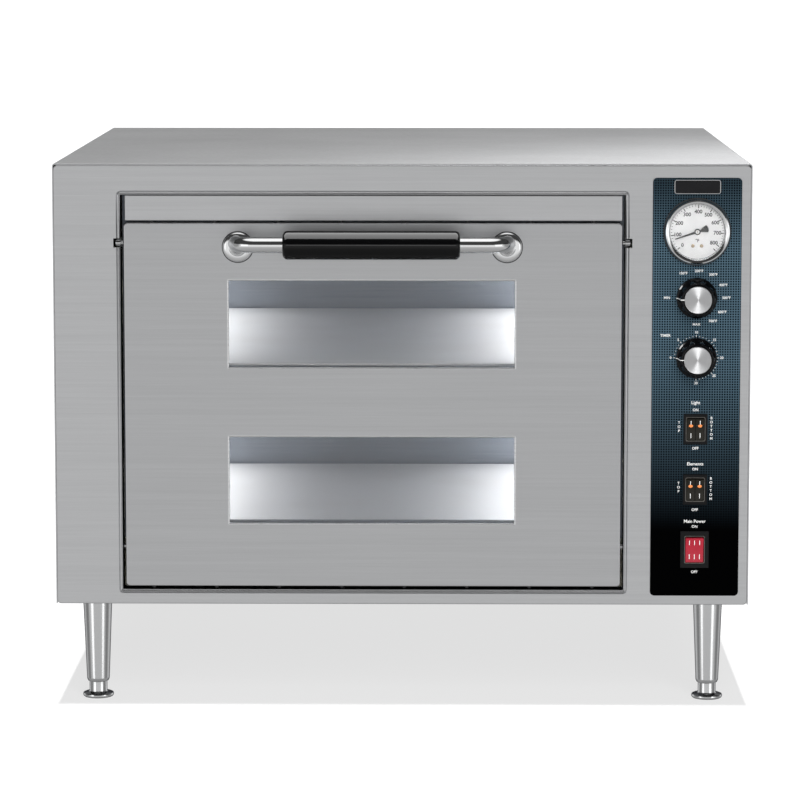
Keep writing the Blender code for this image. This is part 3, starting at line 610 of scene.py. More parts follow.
def build_front_face():
    """Front sheet: folded rim, and a beaded lip around the door opening; the jamb faces inside the lip are
    painted near-black as shade.
    """
    shape = bmesh.new()
    rings = []
    for inset, depth in ((0, RIM_DEPTH), (0, BEND), *bend_steps(BEND)):
        rings.append(box_ring(shape, FACE_LOW, FACE_HIGH, inset, 0.0035, FRONT + depth))
    for grow, depth in LIP:
        rings.append(opening_ring(shape, grow, FRONT + depth))
    jamb = len(rings) - 1
    for grow, depth in ((0, JAMB_DEPTH), (SHEET, JAMB_DEPTH), (SHEET, 0.006)):
        rings.append(opening_ring(shape, grow, FRONT + depth))
    for depth in (0.006, RIM_DEPTH):
        rings.append(box_ring(shape, FACE_LOW, FACE_HIGH, SHEET, 0.002, FRONT + depth))
    # The faces from the lip's inner edge back along the jamb take the second material: painted shade
    for index, (first, second) in enumerate(zip(rings, rings[1:] + rings[:1])):
        bridge(shape, first, second, 1 if jamb <= index < jamb + 2 else 0)
    face = finish_piece("front_face_sheet", shape, ["face_steel", "painted_shade_sheet"], "root",
                        ["front_frame"])
    stud = middle("catch_pin_left").z
    cutters = []
    for edge, outward in ((OPENING_LEFT, -1), (OPENING_RIGHT, 1)):
        near, far = edge - outward * 0.004, edge + outward * NOTCH_REACH
        cutters.append(block((min(near, far), FRONT - 0.01, stud - NOTCH_HALF),
                             (max(near, far), FRONT + NOTCH_DEPTH, stud + NOTCH_HALF)))
    slit(face, *cutters)


def bend_steps(radius):
    """(inset, depth) along a quarter bend, from the side round to the face."""
    steps = []
    for angle in (22, 45, 67, 90):
        turn = math.radians(angle)
        steps.append((radius * (1 - math.cos(turn)), radius * (1 - math.sin(turn))))
    return steps


def opening_ring(shape, grow, y):
    """The opening's outline, grown outwards."""
    return frame_ring(shape, OPENING_LEFT - grow, OPENING_RIGHT + grow, OPENING_LOW - grow,
                      OPENING_HIGH + grow, 0.0006 + grow, y)


def build_wrap():
    """Top and sides of the casing from one sheet, with louvre slots; the top faces get a lighter copy of the
    steel, a painted highlight.
    """
    thick, corner, steps = 0.0012, 0.003, 6
    left, right, low, high = WRAP_LOW.x, WRAP_HIGH.x, WRAP_LOW.z, WRAP_HIGH.z
    right_bend, left_bend = (right - corner, high - corner), (left + corner, high - corner)
    outline = [(right, low), *arc(right_bend, corner, 0, 90, steps), *arc(left_bend, corner, 90, 180, steps),
               (left, low)]
    inner = [(left + thick, low), *arc(left_bend, corner - thick, 180, 90, steps),
             *arc(right_bend, corner - thick, 90, 0, steps), (right - thick, low)]
    section = outline + inner
    total = len(section)
    tops = (steps + 1, total - steps - 3)
    shape = bmesh.new()
    rings = [ring_of(shape, [(x, y, z) for x, z in section]) for y in (WRAP_LOW.y, WRAP_HIGH.y)]
    for index in range(total):
        after = (index + 1) % total
        face = shape.faces.new((rings[0][index], rings[0][after], rings[1][after], rings[1][index]))
        face.material_index = 1 if index in tops else 0
    for ring in rings:
        for index in range(len(outline) - 1):
            shape.faces.new((ring[index], ring[index + 1], ring[total - 2 - index], ring[total - 1 - index]))
    wrap = finish_piece("outer_wrap_sheet", shape, ["side_steel", "top_steel"], "root",
                        ["outer_wrap"])
    slots = []
    for index in range(LOUVRES):
        y = WRAP_HIGH.y - 0.060 - index * LOUVRE_PITCH
        slots.append(block((right - 0.01, y - 0.003, LOUVRE_LOW),
                           (right + 0.01, y + 0.003, LOUVRE_HIGH), 0.0022))
    slit(wrap, *slots)
    return wrap


def build_lintel():
    """Fixed strip above the door, with rounded edges."""
    shape = block(LINTEL_LOW, LINTEL_HIGH, 0.0009, 3)
    finish_piece("lintel_strip", shape, "face_steel", "root", ["lintel_panel"])


def build_gasket_clips():
    """Round clips that hold the gasket, showing in the gaps above and below the door."""
    shape = bmesh.new()
    for index in range(CLIPS):
        x = DOOR_LOW.x + 0.0285 + index * CLIP_PITCH
        for z in (DOOR_HIGH.z + 0.0008, DOOR_LOW.z - 0.0008):
            clip = lathe([(0, 0.0012), (0.0014, 0.0010), (0.0021, 0.0004), (0.0022, 0), (0, 0)], 20)
            add_shape(shape, clip, Matrix.Translation((x, FRONT + 0.004, z)) @ FORWARD)
    finish_piece("gasket_clips", shape, "clip_black", "root")


# ---------------------------------------------------------------- door

def window_panes():
    """(node, lower corner, upper corner) of each pane's box."""
    return [(f"door_glass_{name}", *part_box(f"door_glass_{name}")) for name in ("upper", "lower")]


def build_door():
    """The door's outer sheet: its rim is rounded, and the windows have rolled edges."""
    corner, back = 0.0035, DOOR_HIGH.y
    shape = bmesh.new()
    rings = []
    for inset, depth in ((0, DOOR_HIGH.y - FRONT), (0, BEND), *bend_steps(BEND)):
        rings.append(box_ring(shape, DOOR_LOW, DOOR_HIGH, inset, corner, FRONT + depth))
    rings.append(box_ring(shape, DOOR_LOW, DOOR_HIGH, SHEET + 0.0006, corner - SHEET, FRONT))
    shape.faces.new(rings[-1])
    stack(shape, rings)
    inside = [box_ring(shape, DOOR_LOW, DOOR_HIGH, SHEET, corner - SHEET, y) for y in (back, FRONT + SHEET)]
    stack(shape, [rings[0], *inside])
    shape.faces.new(inside[1])
    skin = finish_piece("door_skin_sheet", shape, "door_steel", "door", ["door_skin"])
    cutters = []
    for _, low, high in window_panes():
        cutters.append(block((low.x + WINDOW_OVERLAP, FRONT - 0.01, low.z + WINDOW_OVERLAP),
                             (high.x - WINDOW_OVERLAP, FRONT + 0.01, high.z - WINDOW_OVERLAP)))
    slit(skin, *cutters)


def build_window_trim():
    """A rolled edge around each window, in a lighter steel than the door sheet: painted highlight."""
    shape = bmesh.new()
    roll = ((-0.0002, -0.0001), (0.0003, -0.00015), (0.0009, 0.0001), (0.0013, 0.0006), (0.0014, 0.0017),
            (-0.0002, 0.0017))
    for _, low, high in window_panes():
        rings = []
        for inset, depth in roll:
            rings.append(box_ring(shape, low, high, WINDOW_OVERLAP + inset, 0.0010, FRONT + depth, 3))
        stack(shape, rings, closed=True)
    finish_piece("window_trim", shape, "trim_steel", "door")


def build_glasses():
    """Ground-edged panes."""
    for node, low, high in window_panes():
        name = node.replace("door_glass", "window_pane")
        finish_piece(name, block(low, high, 0.0005, 2), "door_glass", "door", [node])


def build_handle():
    """Bent chrome tube and thick grip; gives the grip."""
    bar_low, bar_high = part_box("handle_bar")
    grip_low, grip_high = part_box("handle_grip")
    axis = middle("handle_grip")
    radius, bend = 0.008, 0.020
    neck, neck_length, neck_steps = 0.009, 0.023, 4
    left, right = bar_low.x + radius, bar_high.x - radius
    base = middle("handle_rosette_left").z
    points = [(left, FRONT - 0.0003, base), (left, FRONT - neck, base)]
    for step in range(1, neck_steps):
        share = step / neck_steps
        points.append((left, FRONT - neck - neck_length * share, base + (axis.z - base) * share))
    points += [(x, y, axis.z) for x, y in arc((left + bend, axis.y + bend), bend, 180, 270, 14)]
    mirrored = [(left + right - x, y, z) for x, y, z in reversed(points)]
    finish_piece("handle_tube", pipe(points + mirrored, radius, 32), "chrome", "door",
                 ["handle_bar"])
    half = (grip_high.x - grip_low.x) / 2
    outer = (grip_high.z - grip_low.z) / 2
    edge = 0.005
    profile = [(radius + 0.0002, half - 0.0004), (outer - edge, half)]
    profile += [(outer - edge + a, half - edge + b) for a, b in arc((0, 0), edge, 80, 0, 8)]
    shape = lathe(profile + [(r, -h) for r, h in reversed(profile)], 64, closed=True)
    turn = Matrix.Rotation(math.radians(90), 4, "Y")
    return finish_piece("handle_grip_sleeve", shape, "grip_black", "door", ["handle_grip"],
                        turn, axis)


def build_rosettes():
    """Domed rosettes at the handle's ends, each over a thin black ring of painted contact shadow."""
    thick = 0.004
    dome = [(0.0082, thick - 0.0006), (0.0092, thick), (0.0125, thick - 0.0002), (0.0143, thick - 0.0012),
            (0.0152, thick - 0.0024), (0.0155, 0.0005), (0.0153, 0), (0.0082, 0)]
    # A thin black disc a little wider than the rosette: painted contact shadow around its edge
    contact_shadow = [(0.0090, 0.0004), (0.0158, 0.0004), (0.0162, 0.0001), (0.0090, 0.0001)]
    for side in ("left", "right"):
        node = f"handle_rosette_{side}"
        centre = middle(node)
        place = (centre.x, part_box(node)[1].y, centre.z)
        finish_piece(f"rosette_contact_shadow_{side}", lathe(contact_shadow, 64, closed=True), "clip_black", "door",
                     (), FORWARD, place)
        finish_piece(f"rosette_{side}", lathe(dome, 64, closed=True), "chrome", "door", [node],
                     FORWARD, place)


def build_door_pins():
    """Catch studs with domed heads."""
    profile = [(0, 0.0086), (0.0026, 0.0085), (0.0036, 0.0079), (0.004, 0.0070), (0.004, 0.0036),
               (0.0037, 0.0029), (0.0025, 0.0025), (0.0024, 0.0004), (0, 0)]
    for side, out in (("left", -1), ("right", 1)):
        node = f"catch_pin_{side}"
        low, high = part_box(node)
        centre = middle(node)
        place = (high.x if out < 0 else low.x, centre.y, centre.z)
        turn = Matrix.Rotation(math.radians(90 * out), 4, "Y")
        finish_piece(f"catch_stud_{side}", lathe(profile, 40), "satin_turned", "door", [node],
                     turn, place)


# ---------------------------------------------------------------- legs

def build_legs():
    """Tapered legs and their screw feet, with soft chamfers; gives them all."""
    made = []
    foot = [(0, 0.028), (0.006, 0.028), (0.006, 0.0162), (0.0093, 0.0162), (0.0093, 0.0066), (0.0100, 0.0054),
            (0.0115, 0.0048), (0.0140, 0.0047), (0.0156, 0.0040), (0.0160, 0.0030), (0.0160, 0.0018),
            (0.0154, 0.0008), (0.0144, 0.0), (0, 0)]
    for corner in ("front_left", "front_right", "rear_left", "rear_right"):
        low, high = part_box(f"leg_{corner}")
        centre = middle(f"leg_{corner}")
        place = (centre.x, centre.y, 0)
        leg = [(0, high.z), (0.0148, high.z), (0.0152, high.z - 0.0006), (0.0118, 0.0205), (0.0117, 0.0190),
               (0.0107, 0.0168), (0.0100, low.z), (0.0066, low.z), (0.0066, 0.030), (0, 0.030)]
        made.append(finish_piece(f"tapered_leg_{corner}", lathe(leg, 64), "leg_steel", "root",
                                 [f"leg_{corner}"], place=place))
        made.append(finish_piece(f"levelling_foot_{corner}", lathe(foot, 64), "leg_steel", f"foot_{corner}",
                                 [f"foot_{corner}"], place=place))
    return made


# ---------------------------------------------------------------- controls

def build_overlay():
    """Printed panel, with a soft edge, and its white lettering."""
    width, height = PANEL_HIGH.x - PANEL_LOW.x, PANEL_HIGH.z - PANEL_LOW.z
    thick = PANEL_HIGH.y - PANEL_LOW.y
    shape = plate([rounded(width, height, 0.0043, 8)], thick, 0.0003, 2)
    finish_piece("printed_panel", shape, "panel_print", "root", ["control_overlay"],
                 FORWARD, (PANEL_X, PANEL_FACE + thick / 2, PANEL_Z))
    print_shape = bmesh.new()
    for label, size, across, z in panel_labels():
        add_shape(print_shape, words(label, size, across, z - PANEL_Z))
    for start, end in tick_marks():
        add_shape(print_shape, tick(start, end, up=KNOB_PLACES["timer"] - PANEL_Z))
    finish_piece("panel_lettering", print_shape, "print_white", "root", (),
                 FORWARD, (PANEL_X, PANEL_FACE - 0.00004, PANEL_Z))


def around(degrees, reach):
    """The point at a clockwise angle from the top and a distance from the middle."""
    angle = math.radians(degrees)
    return reach * math.sin(angle), reach * math.cos(angle)


def panel_labels():
    """(text, size, across from the panel's middle, height) of each word on the panel."""
    light, element = TWIN_SWITCHES["light"], TWIN_SWITCHES["element"]
    labels = []
    # (title, switch's height, rise of the title, rise of ON, drop of OFF)
    for title, z, over, rise, drop in (("Light", light, 0.0270, 0.0195, 0.0200),
                                       ("Elements", element, 0.0262, 0.0208, 0.0212),
                                       ("Main Power", POWER_Z, 0.0290, 0.0236, 0.0234)):
        labels += [(title, TITLE, 0, z + over), ("ON", 0.0038, 0, z + rise), ("OFF", 0.0038, 0, z - drop)]
    for z in (light, element):
        for word, across, first in (("TOP", -0.0168, 0.0063), ("BOTTOM", 0.0162, 0.0112)):
            for index, letter in enumerate(word):
                labels.append((letter, LABEL, across, z + first - index * 0.0042))
    labels.append(("TIMER", 0.0038, -0.0315, KNOB_PLACES["timer"] + 0.0228))
    for index in range(7):
        across, up = around(-90 + 45 * index, 0.026)
        labels.append((str(5 * index), LABEL, across, KNOB_PLACES["timer"] + up))
    dial = (("MIN", -90), ("150°F", -29), ("200°F", 4.5), ("300°F", 35), ("400°F", 64), ("500°F", 90),
            ("600°F", 119), ("700°F", 145), ("MAX", 180))
    for text, degrees in dial:
        across, up = around(degrees, 0.0272 + 0.0030 * abs(math.sin(math.radians(degrees))))
        labels.append((text, LABEL, across, KNOB_PLACES["thermostat"] + up))
    return labels


def tick_marks():
    """(start, end) of the minute marks around the timer knob."""
    inner = 0.0216
    marks = []
    for minute in range(31):
        turn = -90 + 9 * minute
        marks.append((around(turn, inner), around(turn, inner + (0.0016 if minute % 5 == 0 else 0.0008))))
    return marks


def tick(start, end, width=0.0005, up=0.0):
    """A thin raised stroke in XY, moved up."""
    (start_x, start_y), (end_x, end_y) = start, end
    length = math.hypot(end_x - start_x, end_y - start_y)
    shape = block((-length / 2, -width / 2, -0.00005), (length / 2, width / 2, 0.00006))
    turn = Matrix.Rotation(math.atan2(end_y - start_y, end_x - start_x), 4, "Z")
    place = Matrix.Translation(((start_x + end_x) / 2, (start_y + end_y) / 2 + up, 0))
    bmesh.ops.transform(shape, matrix=place @ turn, verts=shape.verts)
    return shape


def build_badge():
    """A blank plate: black field in a grey rim."""
    low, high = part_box("badge_plate")
    centre = middle("badge_plate")
    width, height, thick = high.x - low.x, high.z - low.z, high.y - low.y
    opening = rounded(width - 0.0015, height - 0.0015, 0.0019)
    rim = plate([rounded(width, height, 0.0026), opening], thick, 0.0002, 2)
    finish_piece("badge_rim", rim, "satin_turned", "root", ["badge_plate"], FORWARD, centre)
    field = plate([rounded(width - 0.0013, height - 0.0013, 0.0020)], thick - 0.0004, 0.0001, 1)
    finish_piece("badge_field", field, "badge_black", "root", (), FORWARD,
                 (centre.x, centre.y + 0.0001, centre.z))


def build_gauge():
    """Dial thermometer's case: a polished bezel, ringed by a thin black band of painted shadow."""
    low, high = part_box("gauge_case")
    lens_low, lens_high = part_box("gauge_lens")
    base = PANEL_FACE - 0.0003
    reach = base - low.y
    outer = (high.x - low.x) / 2
    inner = (lens_high.x - lens_low.x) / 2 + 0.0003
    place = (PANEL_X, base, GAUGE_Z)
    # Black ring just wider than the bezel: painted shadow around it
    skirt = [(0.030, 0.0002), (outer + 0.0011, 0.0002), (outer + 0.0012, 0.0012), (0.030, 0.0014)]
    finish_piece("gauge_bezel_shadow", lathe(skirt, 96, closed=True), "clip_black", "root", (),
                 FORWARD, place)
    cup = [(0, -0.018), (inner, -0.018), (inner, -0.001)]
    rim = [(inner, reach - 0.0030), (inner + 0.0006, reach - 0.0012), (inner + 0.0018, reach - 0.0003),
           (inner + 0.0032, reach), (inner + 0.0044, reach - 0.0006), (outer - 0.0002, reach - 0.0022),
           (outer, reach - 0.0036)]
    back = [(outer, 0.0006), (outer - 0.0004, 0), (0.029, 0), (0.029, -0.019), (0.026, -0.020), (0, -0.020)]
    finish_piece("gauge_bezel", lathe(cup + rim + back, 96), "chrome", "root", ["gauge_case"],
                 FORWARD, place)


def build_dial():
    """Printed dial with two screws, under a domed lens."""
    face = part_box("gauge_dial")[0].y
    place = (PANEL_X, face, GAUGE_Z)
    card = [(0, 0), (0.0274, 0), (DIAL_RADIUS, -0.0002), (DIAL_RADIUS, -0.0008), (0, -0.0008)]
    finish_piece("dial_card", lathe(card, 96), "dial_white", "root", ["gauge_dial"],
                 FORWARD, place)
    finish_piece("dial_print", dial_figures(), "print_grey", "root", (), FORWARD,
                 (PANEL_X, face - 0.00008, GAUGE_Z))
    screws = bmesh.new()
    for x in (-0.0044, 0.0044):
        head = lathe([(0, 0.0007), (0.0010, 0.0006), (0.0018, 0.0002), (0.0018, 0), (0, 0)], 24)
        add_shape(screws, head, Matrix.Translation((x, -0.0145, 0)))
    finish_piece("dial_screws", screws, "brass", "root", (), FORWARD, place)
    build_needle()
    lens = [(0, 0.0006), (0.012, 0.0005), (0.022, 0.0002), (DIAL_RADIUS, -0.0003), (DIAL_RADIUS, -0.0010),
            (0.022, -0.0006), (0.012, -0.0003), (0, -0.0002)]
    finish_piece("gauge_window", lathe(lens, 96), "lens_glass", "root", ["gauge_lens"],
                 FORWARD, (PANEL_X, middle("gauge_lens").y, GAUGE_Z))


def dial_turn(value):
    """Degrees clockwise from the top for a temperature; the scale is wider below its middle."""
    return DIAL_TOP_DEG + (value - DIAL_TOP_VALUE) * (0.337 if value < DIAL_TOP_VALUE else 0.304)


def dial_figures():
    """Ticks, figures and the unit on the dial."""
    shape = bmesh.new()
    rim, figures = 0.0268, 0.0203
    for value in range(0, 851, 20):
        turn = dial_turn(value)
        major = value % 100 == 0 or value == 840
        length, width = (0.0030, 0.0009) if major else (0.0014, 0.0004)
        add_shape(shape, tick(around(turn, rim - length), around(turn, rim), width))
        if value % 100 == 0:
            add_shape(shape, words(str(value), 0.0053, *around(turn, figures), 0.00014))
    add_shape(shape, words("°F", 0.0046, 0, -0.0092, 0.00010))
    return shape


def build_needle():
    """Needle, counterweight and hub."""
    pivot = (PANEL_X, middle("gauge_needle").y, GAUGE_Z)
    turn = FORWARD @ Matrix.Rotation(math.radians(NEEDLE_REST_DEG), 4, "Z")
    hand = [(-0.00045, 0.0236), (-0.0012, 0.0030), *arc((0, 0), 0.0032, 105, 250, 14)]
    hand += [(-0.0011, -0.0036), (-0.0037, -0.0103), (-0.0021, -0.0113), (0, -0.0117), (0.0021, -0.0113)]
    hand += [(0.0037, -0.0103), (0.0011, -0.0036), *arc((0, 0), 0.0032, 290, 435, 14)]
    hand += [(0.0012, 0.0030), (0.00045, 0.0236)]
    finish_piece("needle_blade", plate([hand], 0.0006, 0.0001, 1), "needle_black", "needle",
                 ["gauge_needle"], turn, pivot)
    hub = lathe([(0, 0.0010), (0.0016, 0.0010), (0.0020, 0.0007), (0.0020, 0), (0, 0)], 32)
    finish_piece("needle_hub", hub, "print_white", "needle", (), FORWARD, pivot)
    slot = block((-0.00025, -0.0014, 0.0009), (0.00025, 0.0014, 0.0012))
    finish_piece("needle_slot", slot, "brass", "needle", (), FORWARD, pivot)


KNOB_PROFILE = ((0.0, 0.0), (0.0203, 0.0), (0.02075, 0.0006), (0.02075, 0.0032), (0.0204, 0.0042),
                (0.0196, 0.0048), (0.0191, 0.0052), (0.0189, 0.0065), (0.0186, 0.0110), (0.0182, 0.0160),
                (0.0178, 0.0195), (0.0172, 0.0213), (0.0162, 0.0222), (0.0150, 0.0224), (0.0146, 0.0222),
                (0.0144, 0.0215), (0.0, 0.0215))
CAP_PROFILE = ((0, 0.0240), (0.0130, 0.0240), (0.0137, 0.0238), (0.0140, 0.0232), (0.0140, 0.0216),
               (0, 0.0216))
FLUTES = 10
FLUTE_DEPTH = 0.00176


def flutes(angle, height):
    """How far the skirt's flutes cut in at an angle and a height."""
    rise = min(1, max(0, (height - 0.0046) / 0.002)) * min(1, max(0, (0.0223 - height) / 0.0025))
    return FLUTE_DEPTH * rise * (1 - math.cos(FLUTES * angle)) / 2


def build_knobs():
    """Fluted black knobs with bright caps and a white pointer line; gives the knobs and the caps."""
    made, caps = [], []
    for control, z in KNOB_PLACES.items():
        body = f"{control}_dial"
        place = (PANEL_X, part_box(f"{control}_knob")[1].y, z)
        fluted = lathe(KNOB_PROFILE, 160, wave=flutes)
        made.append(finish_piece(f"{control}_fluted_knob", fluted, "knob_black", body,
                                 [f"{control}_knob"], FORWARD, place))
        caps.append(finish_piece(f"{control}_cap", lathe(CAP_PROFILE, 96), "spun_aluminium", body,
                                 [f"{control}_knob_cap"], FORWARD, place))
        finish_piece(f"{control}_pointer", pointer_strip(), "print_white", body, (), FORWARD,
                     place)
    return made, caps


def pointer_strip():
    """A white stroke that runs over the skirt, up the side and across the top, at nine o'clock."""
    half, proud, sunk = 0.00042, 0.00008, 0.0006
    path = [(0.0208, 0.0012), (0.0208, 0.0034), (0.0204, 0.0046), (0.0193, 0.0056), (0.0189, 0.0110),
            (0.0181, 0.0192), (0.0173, 0.0215), (0.0160, 0.0225), (0.0143, 0.0226)]
    shape = bmesh.new()
    rows = []
    for radius, height in path:
        outside, inside, under = -radius - proud, -radius + sunk, height - sunk
        rows.append(ring_of(shape, [(outside, -half, height), (outside, half, height), (inside, half, under),
                                    (inside, -half, under)]))
    stack(shape, rows)
    shape.faces.new(rows[0])
    shape.faces.new(rows[-1])
    return shape


def build_switches():
    """Three snap-in switches: housings, rockers with their marks, and neon windows."""
    for name in TWIN_SWITCHES:
        build_switch_housing(f"{name}_switch_housing", 0.0186, 0.0236)
        for part in ("top", "bottom"):
            node = f"{name}_rocker_{part}"
            build_rocker(node, 0.0226, "rocker_smoke", (0.0,))
            build_neon(node, 0.0226)
    build_switch_housing("power_switch_housing", 0.0196, 0.0272)
    build_rocker("power_rocker", 0.0255, "rocker_red", (-0.0052, 0, 0.0052))


def build_switch_housing(node, inner_width, inner_height):
    """Shell that goes back into the panel, and a grey rim around the rockers."""
    low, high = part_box(node)
    centre = middle(node)
    face, lip = low.y, 0.0006
    half_width, half_height = (high.x - low.x) / 2, (high.z - low.z) / 2
    well_width, well_height = inner_width / 2 + lip, inner_height / 2 + lip
    # (half width, half height, corner, depth) from the back of the bezel round into the well
    steps = ((half_width, half_height, 0.0006, 0.0020), (half_width, half_height, 0.0006, 0.0004),
             (half_width - 0.0004, half_height - 0.0004, 0.0006, 0.0), (well_width, well_height, 0.0014, 0.0),
             (well_width - lip, well_height - lip, 0.0012, 0.0008),
             (well_width - lip, well_height - lip, 0.0010, 0.0120))
    shape = bmesh.new()
    rings = [centred_ring(shape, centre, *step[:3], face + step[3]) for step in steps]
    stack(shape, rings)
    shape.faces.new(rings[-1])
    shape.faces.new(rings[0])
    finish_piece(f"{node}_shell", shape, "switch_black", "root", [node])
    rim = bmesh.new()
    rings = []
    for grow, depth in ((0.0008, 0.0001), (0.0005, -0.0002), (0.0001, 0.0), (0.0001, 0.0009),
                        (0.0008, 0.0009)):
        rings.append(centred_ring(rim, centre, inner_width / 2 + grow, inner_height / 2 + grow, 0.0016,
                                  face + depth))
    stack(rim, rings, closed=True)
    finish_piece(f"{node}_rim", rim, "rim_grey", "root")


def centred_ring(shape, centre, half_width, half_height, corner, y):
    """A round-cornered rectangle of vertices about a centre, in the plane at y."""
    return frame_ring(shape, centre.x - half_width, centre.x + half_width, centre.z - half_height,
                      centre.z + half_height, corner, y, 4)


# The rockers' concave faces: depth in front of the pivot at the ends, and the hollow in between
ROCKER_FRONT = 0.0040
ROCKER_HOLLOW = 0.0014
ROCKER_LEAN = Matrix.Rotation(math.radians(7), 4, "X")


def rocker_face(share):
    """Depth of a rocker's face at a share (-1..1) of its half length."""
    return -ROCKER_FRONT + ROCKER_HOLLOW * (1 - share * share)


def rocker_pivot(node):
    """Where a rocker turns."""
    centre = middle(node)
    return Vector((centre.x, PANEL_FACE + 0.0015, centre.z))


def build_rocker(node, length, look, columns):
    """One rocker from its side outline, with rounded edges and printed strokes."""
    low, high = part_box(node)
    half = length / 2
    outline = [(rocker_face(-1 + step / 8), half * (-1 + step / 8)) for step in range(17)]
    outline += [(0.0010, half), (0.0045, 0.003), (0.0045, -0.003), (0.0010, -half)]
    upright = Matrix(((0, 0, 1, 0), (1, 0, 0, 0), (0, 1, 0, 0), (0, 0, 0, 1)))
    finish_piece(f"{node}_key", plate([outline], high.x - low.x, 0.0003, 2), look, node, [node],
                 ROCKER_LEAN @ upright, rocker_pivot(node))
    marks = bmesh.new()
    for x in columns:
        for share in (0.62, -0.55):
            tilt = Matrix.Rotation(math.atan(2 * ROCKER_HOLLOW * share / half), 4, "X")
            stroke = block((-0.00032, -0.00005, -0.0025), (0.00032, 0.00005, 0.0025))
            place = Matrix.Translation((x, rocker_face(share) - 0.00006, half * share))
            add_shape(marks, stroke, place @ tilt)
    finish_piece(f"{node}_marks", marks, "print_white", node, (), ROCKER_LEAN,
                 rocker_pivot(node))


def build_neon(node, length):
    """The oval neon window in a rocker's upper half."""
    share = 0.36
    oval = lathe([(0, 0.0004), (0.0012, 0.0003), (0.0019, 0.0), (0, -0.0002)], 32)
    bmesh.ops.transform(oval, matrix=Matrix.Diagonal((1.15, 0.9, 1, 1)), verts=oval.verts)
    offset = ROCKER_LEAN.to_3x3() @ Vector((0, rocker_face(share), share * length / 2))
    finish_piece(f"{node}_neon", oval, "neon_orange", node, (), ROCKER_LEAN @ FORWARD,
                 rocker_pivot(node) + offset)


# ---------------------------------------------------------------- chamber and rear

def paint_nodes():
    """Materials for the CAD nodes whose shape stays."""
    plain = {
        "inner_steel": ["chamber_liner", "door_liner"],
        "dull_sheet": ["base_pan", "rear_panel", "control_divider", "upper_deck_rail_left",
                       "upper_deck_rail_right", "lower_deck_tray", "thermostat_body", "timer_body"],
        "satin_turned": ["hinge_pin_left", "hinge_pin_right"],
        "gasket": ["door_gasket"],
        "wool": ["insulation_blanket"],
        "stone": ["upper_deck_stone", "lower_deck_stone"],
        "sheath": ["top_element", "middle_element", "bottom_element"],
        "lens_glass": ["upper_lamp", "lower_lamp"],
        "switch_black": ["cord_gland"],
    }
    for look, nodes in plain.items():
        for node in nodes:
            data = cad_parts[node].data
            data.materials.clear()
            data.materials.append(LOOKS[look])


# ---------------------------------------------------------------- stage

def build_stage(casing):
    """A pale floor that keeps a faint, plain shadow under the oven."""
    floor_mesh = bpy.data.meshes.new("floor")
    shape = bmesh.new()
    bmesh.ops.create_grid(shape, x_segments=1, y_segments=1, size=60)
    shape.to_mesh(floor_mesh)
    shape.free()
    look = Look("pale_floor", (0.12, 0.12, 0.12), 0.0, 0.9, Specular_IOR_Level=0.0)
    look.shader.inputs["Emission Color"].default_value = (1, 1, 1, 1)
    look.shader.inputs["Emission Strength"].default_value = 0.72
    floor_mesh.materials.append(look.material)
    floor = bpy.data.objects.new("floor", floor_mesh)
    floor.visible_glossy = False
    bpy.context.scene.collection.objects.link(floor)
    data = bpy.data.lights.new("floor_light", "SUN")
    data.energy = 12
    data.angle = math.radians(2)
    light = bpy.data.objects.new("floor_light", data)
    bpy.context.scene.collection.objects.link(light)
    shine_on(light, floor)
    light.light_linking.blocker_collection = group_of("shading_box", casing)


def group_of(name, *things):
    """A collection of the objects that a light is linked to."""
    group = bpy.data.collections.new(name)
    for thing in things:
        group.objects.link(thing)
    return group


def shine_on(light, *things):
    """Let a light reach only these things."""
    light.light_linking.receiver_collection = group_of(f"lit_by_{light.name}", *things)


def area_light(name, place, target, width, height, power, spread=180):
    """A soft rectangular light aimed at a point."""
    data = bpy.data.lights.new(name, "AREA")
    data.shape = "RECTANGLE"
    data.size = width
    data.size_y = height
    data.energy = power
    data.spread = math.radians(spread)
    light = bpy.data.objects.new(name, data)
    light.location = place
    light.rotation_euler = (Vector(target) - Vector(place)).to_track_quat("-Z", "Y").to_euler()
    light.visible_camera = False
    bpy.context.scene.collection.objects.link(light)
    return light


# Brightness of the studio by the height of its direction, all round the oven
FRONT_PROFILE = ((-1.0, 0.42), (-0.45, 0.58), (-0.20, 1.03), (0.12, 1.08), (0.20, 0.06), (0.84, 0.06),
                 (0.91, 1.3), (1.0, 1.4))
PROFILE_TOP = 2.0


def build_world():
    """White to the camera; for everything that it lights, softboxes overhead, at the sides and behind."""
    world = bpy.data.worlds.new("studio")
    bpy.context.scene.world = world
    world.use_nodes = True
    nodes = Nodes(world.node_tree)
    world.node_tree.nodes.clear()
    direction = nodes.node("ShaderNodeTexCoord").outputs["Generated"]
    across, along, up = nodes.node("ShaderNodeSeparateXYZ", Vector=direction).outputs
    sideways = nodes.math("ABSOLUTE", across)
    side = softbox(nodes, 1.5, (sideways, 0.42, 0.52), (sideways, 0.93, 0.86), (up, -0.45, -0.15),
                   (up, 0.30, 0.10))
    rear = softbox(nodes, 0.52, (along, 0.45, 0.75), (sideways, 0.60, 0.35), (up, 0.70, 0.40))
    level = nodes.math("MAXIMUM", nodes.math("MAXIMUM", height_profile(nodes, up), side), rear)
    level = nodes.math("MULTIPLY", level, nodes.span(sideways, 1, 0.35, 0.88, 0.97))
    studio = nodes.node("ShaderNodeBackground", Strength=level)
    white = nodes.node("ShaderNodeBackground", Color=(1, 1, 1, 1), Strength=1.1)
    mix = nodes.node("ShaderNodeMixShader")
    nodes.feed(mix.inputs[0], nodes.node("ShaderNodeLightPath").outputs["Is Camera Ray"])
    nodes.feed(mix.inputs[1], studio.outputs[0])
    nodes.feed(mix.inputs[2], white.outputs[0])
    nodes.node("ShaderNodeOutputWorld", Surface=mix.outputs[0])


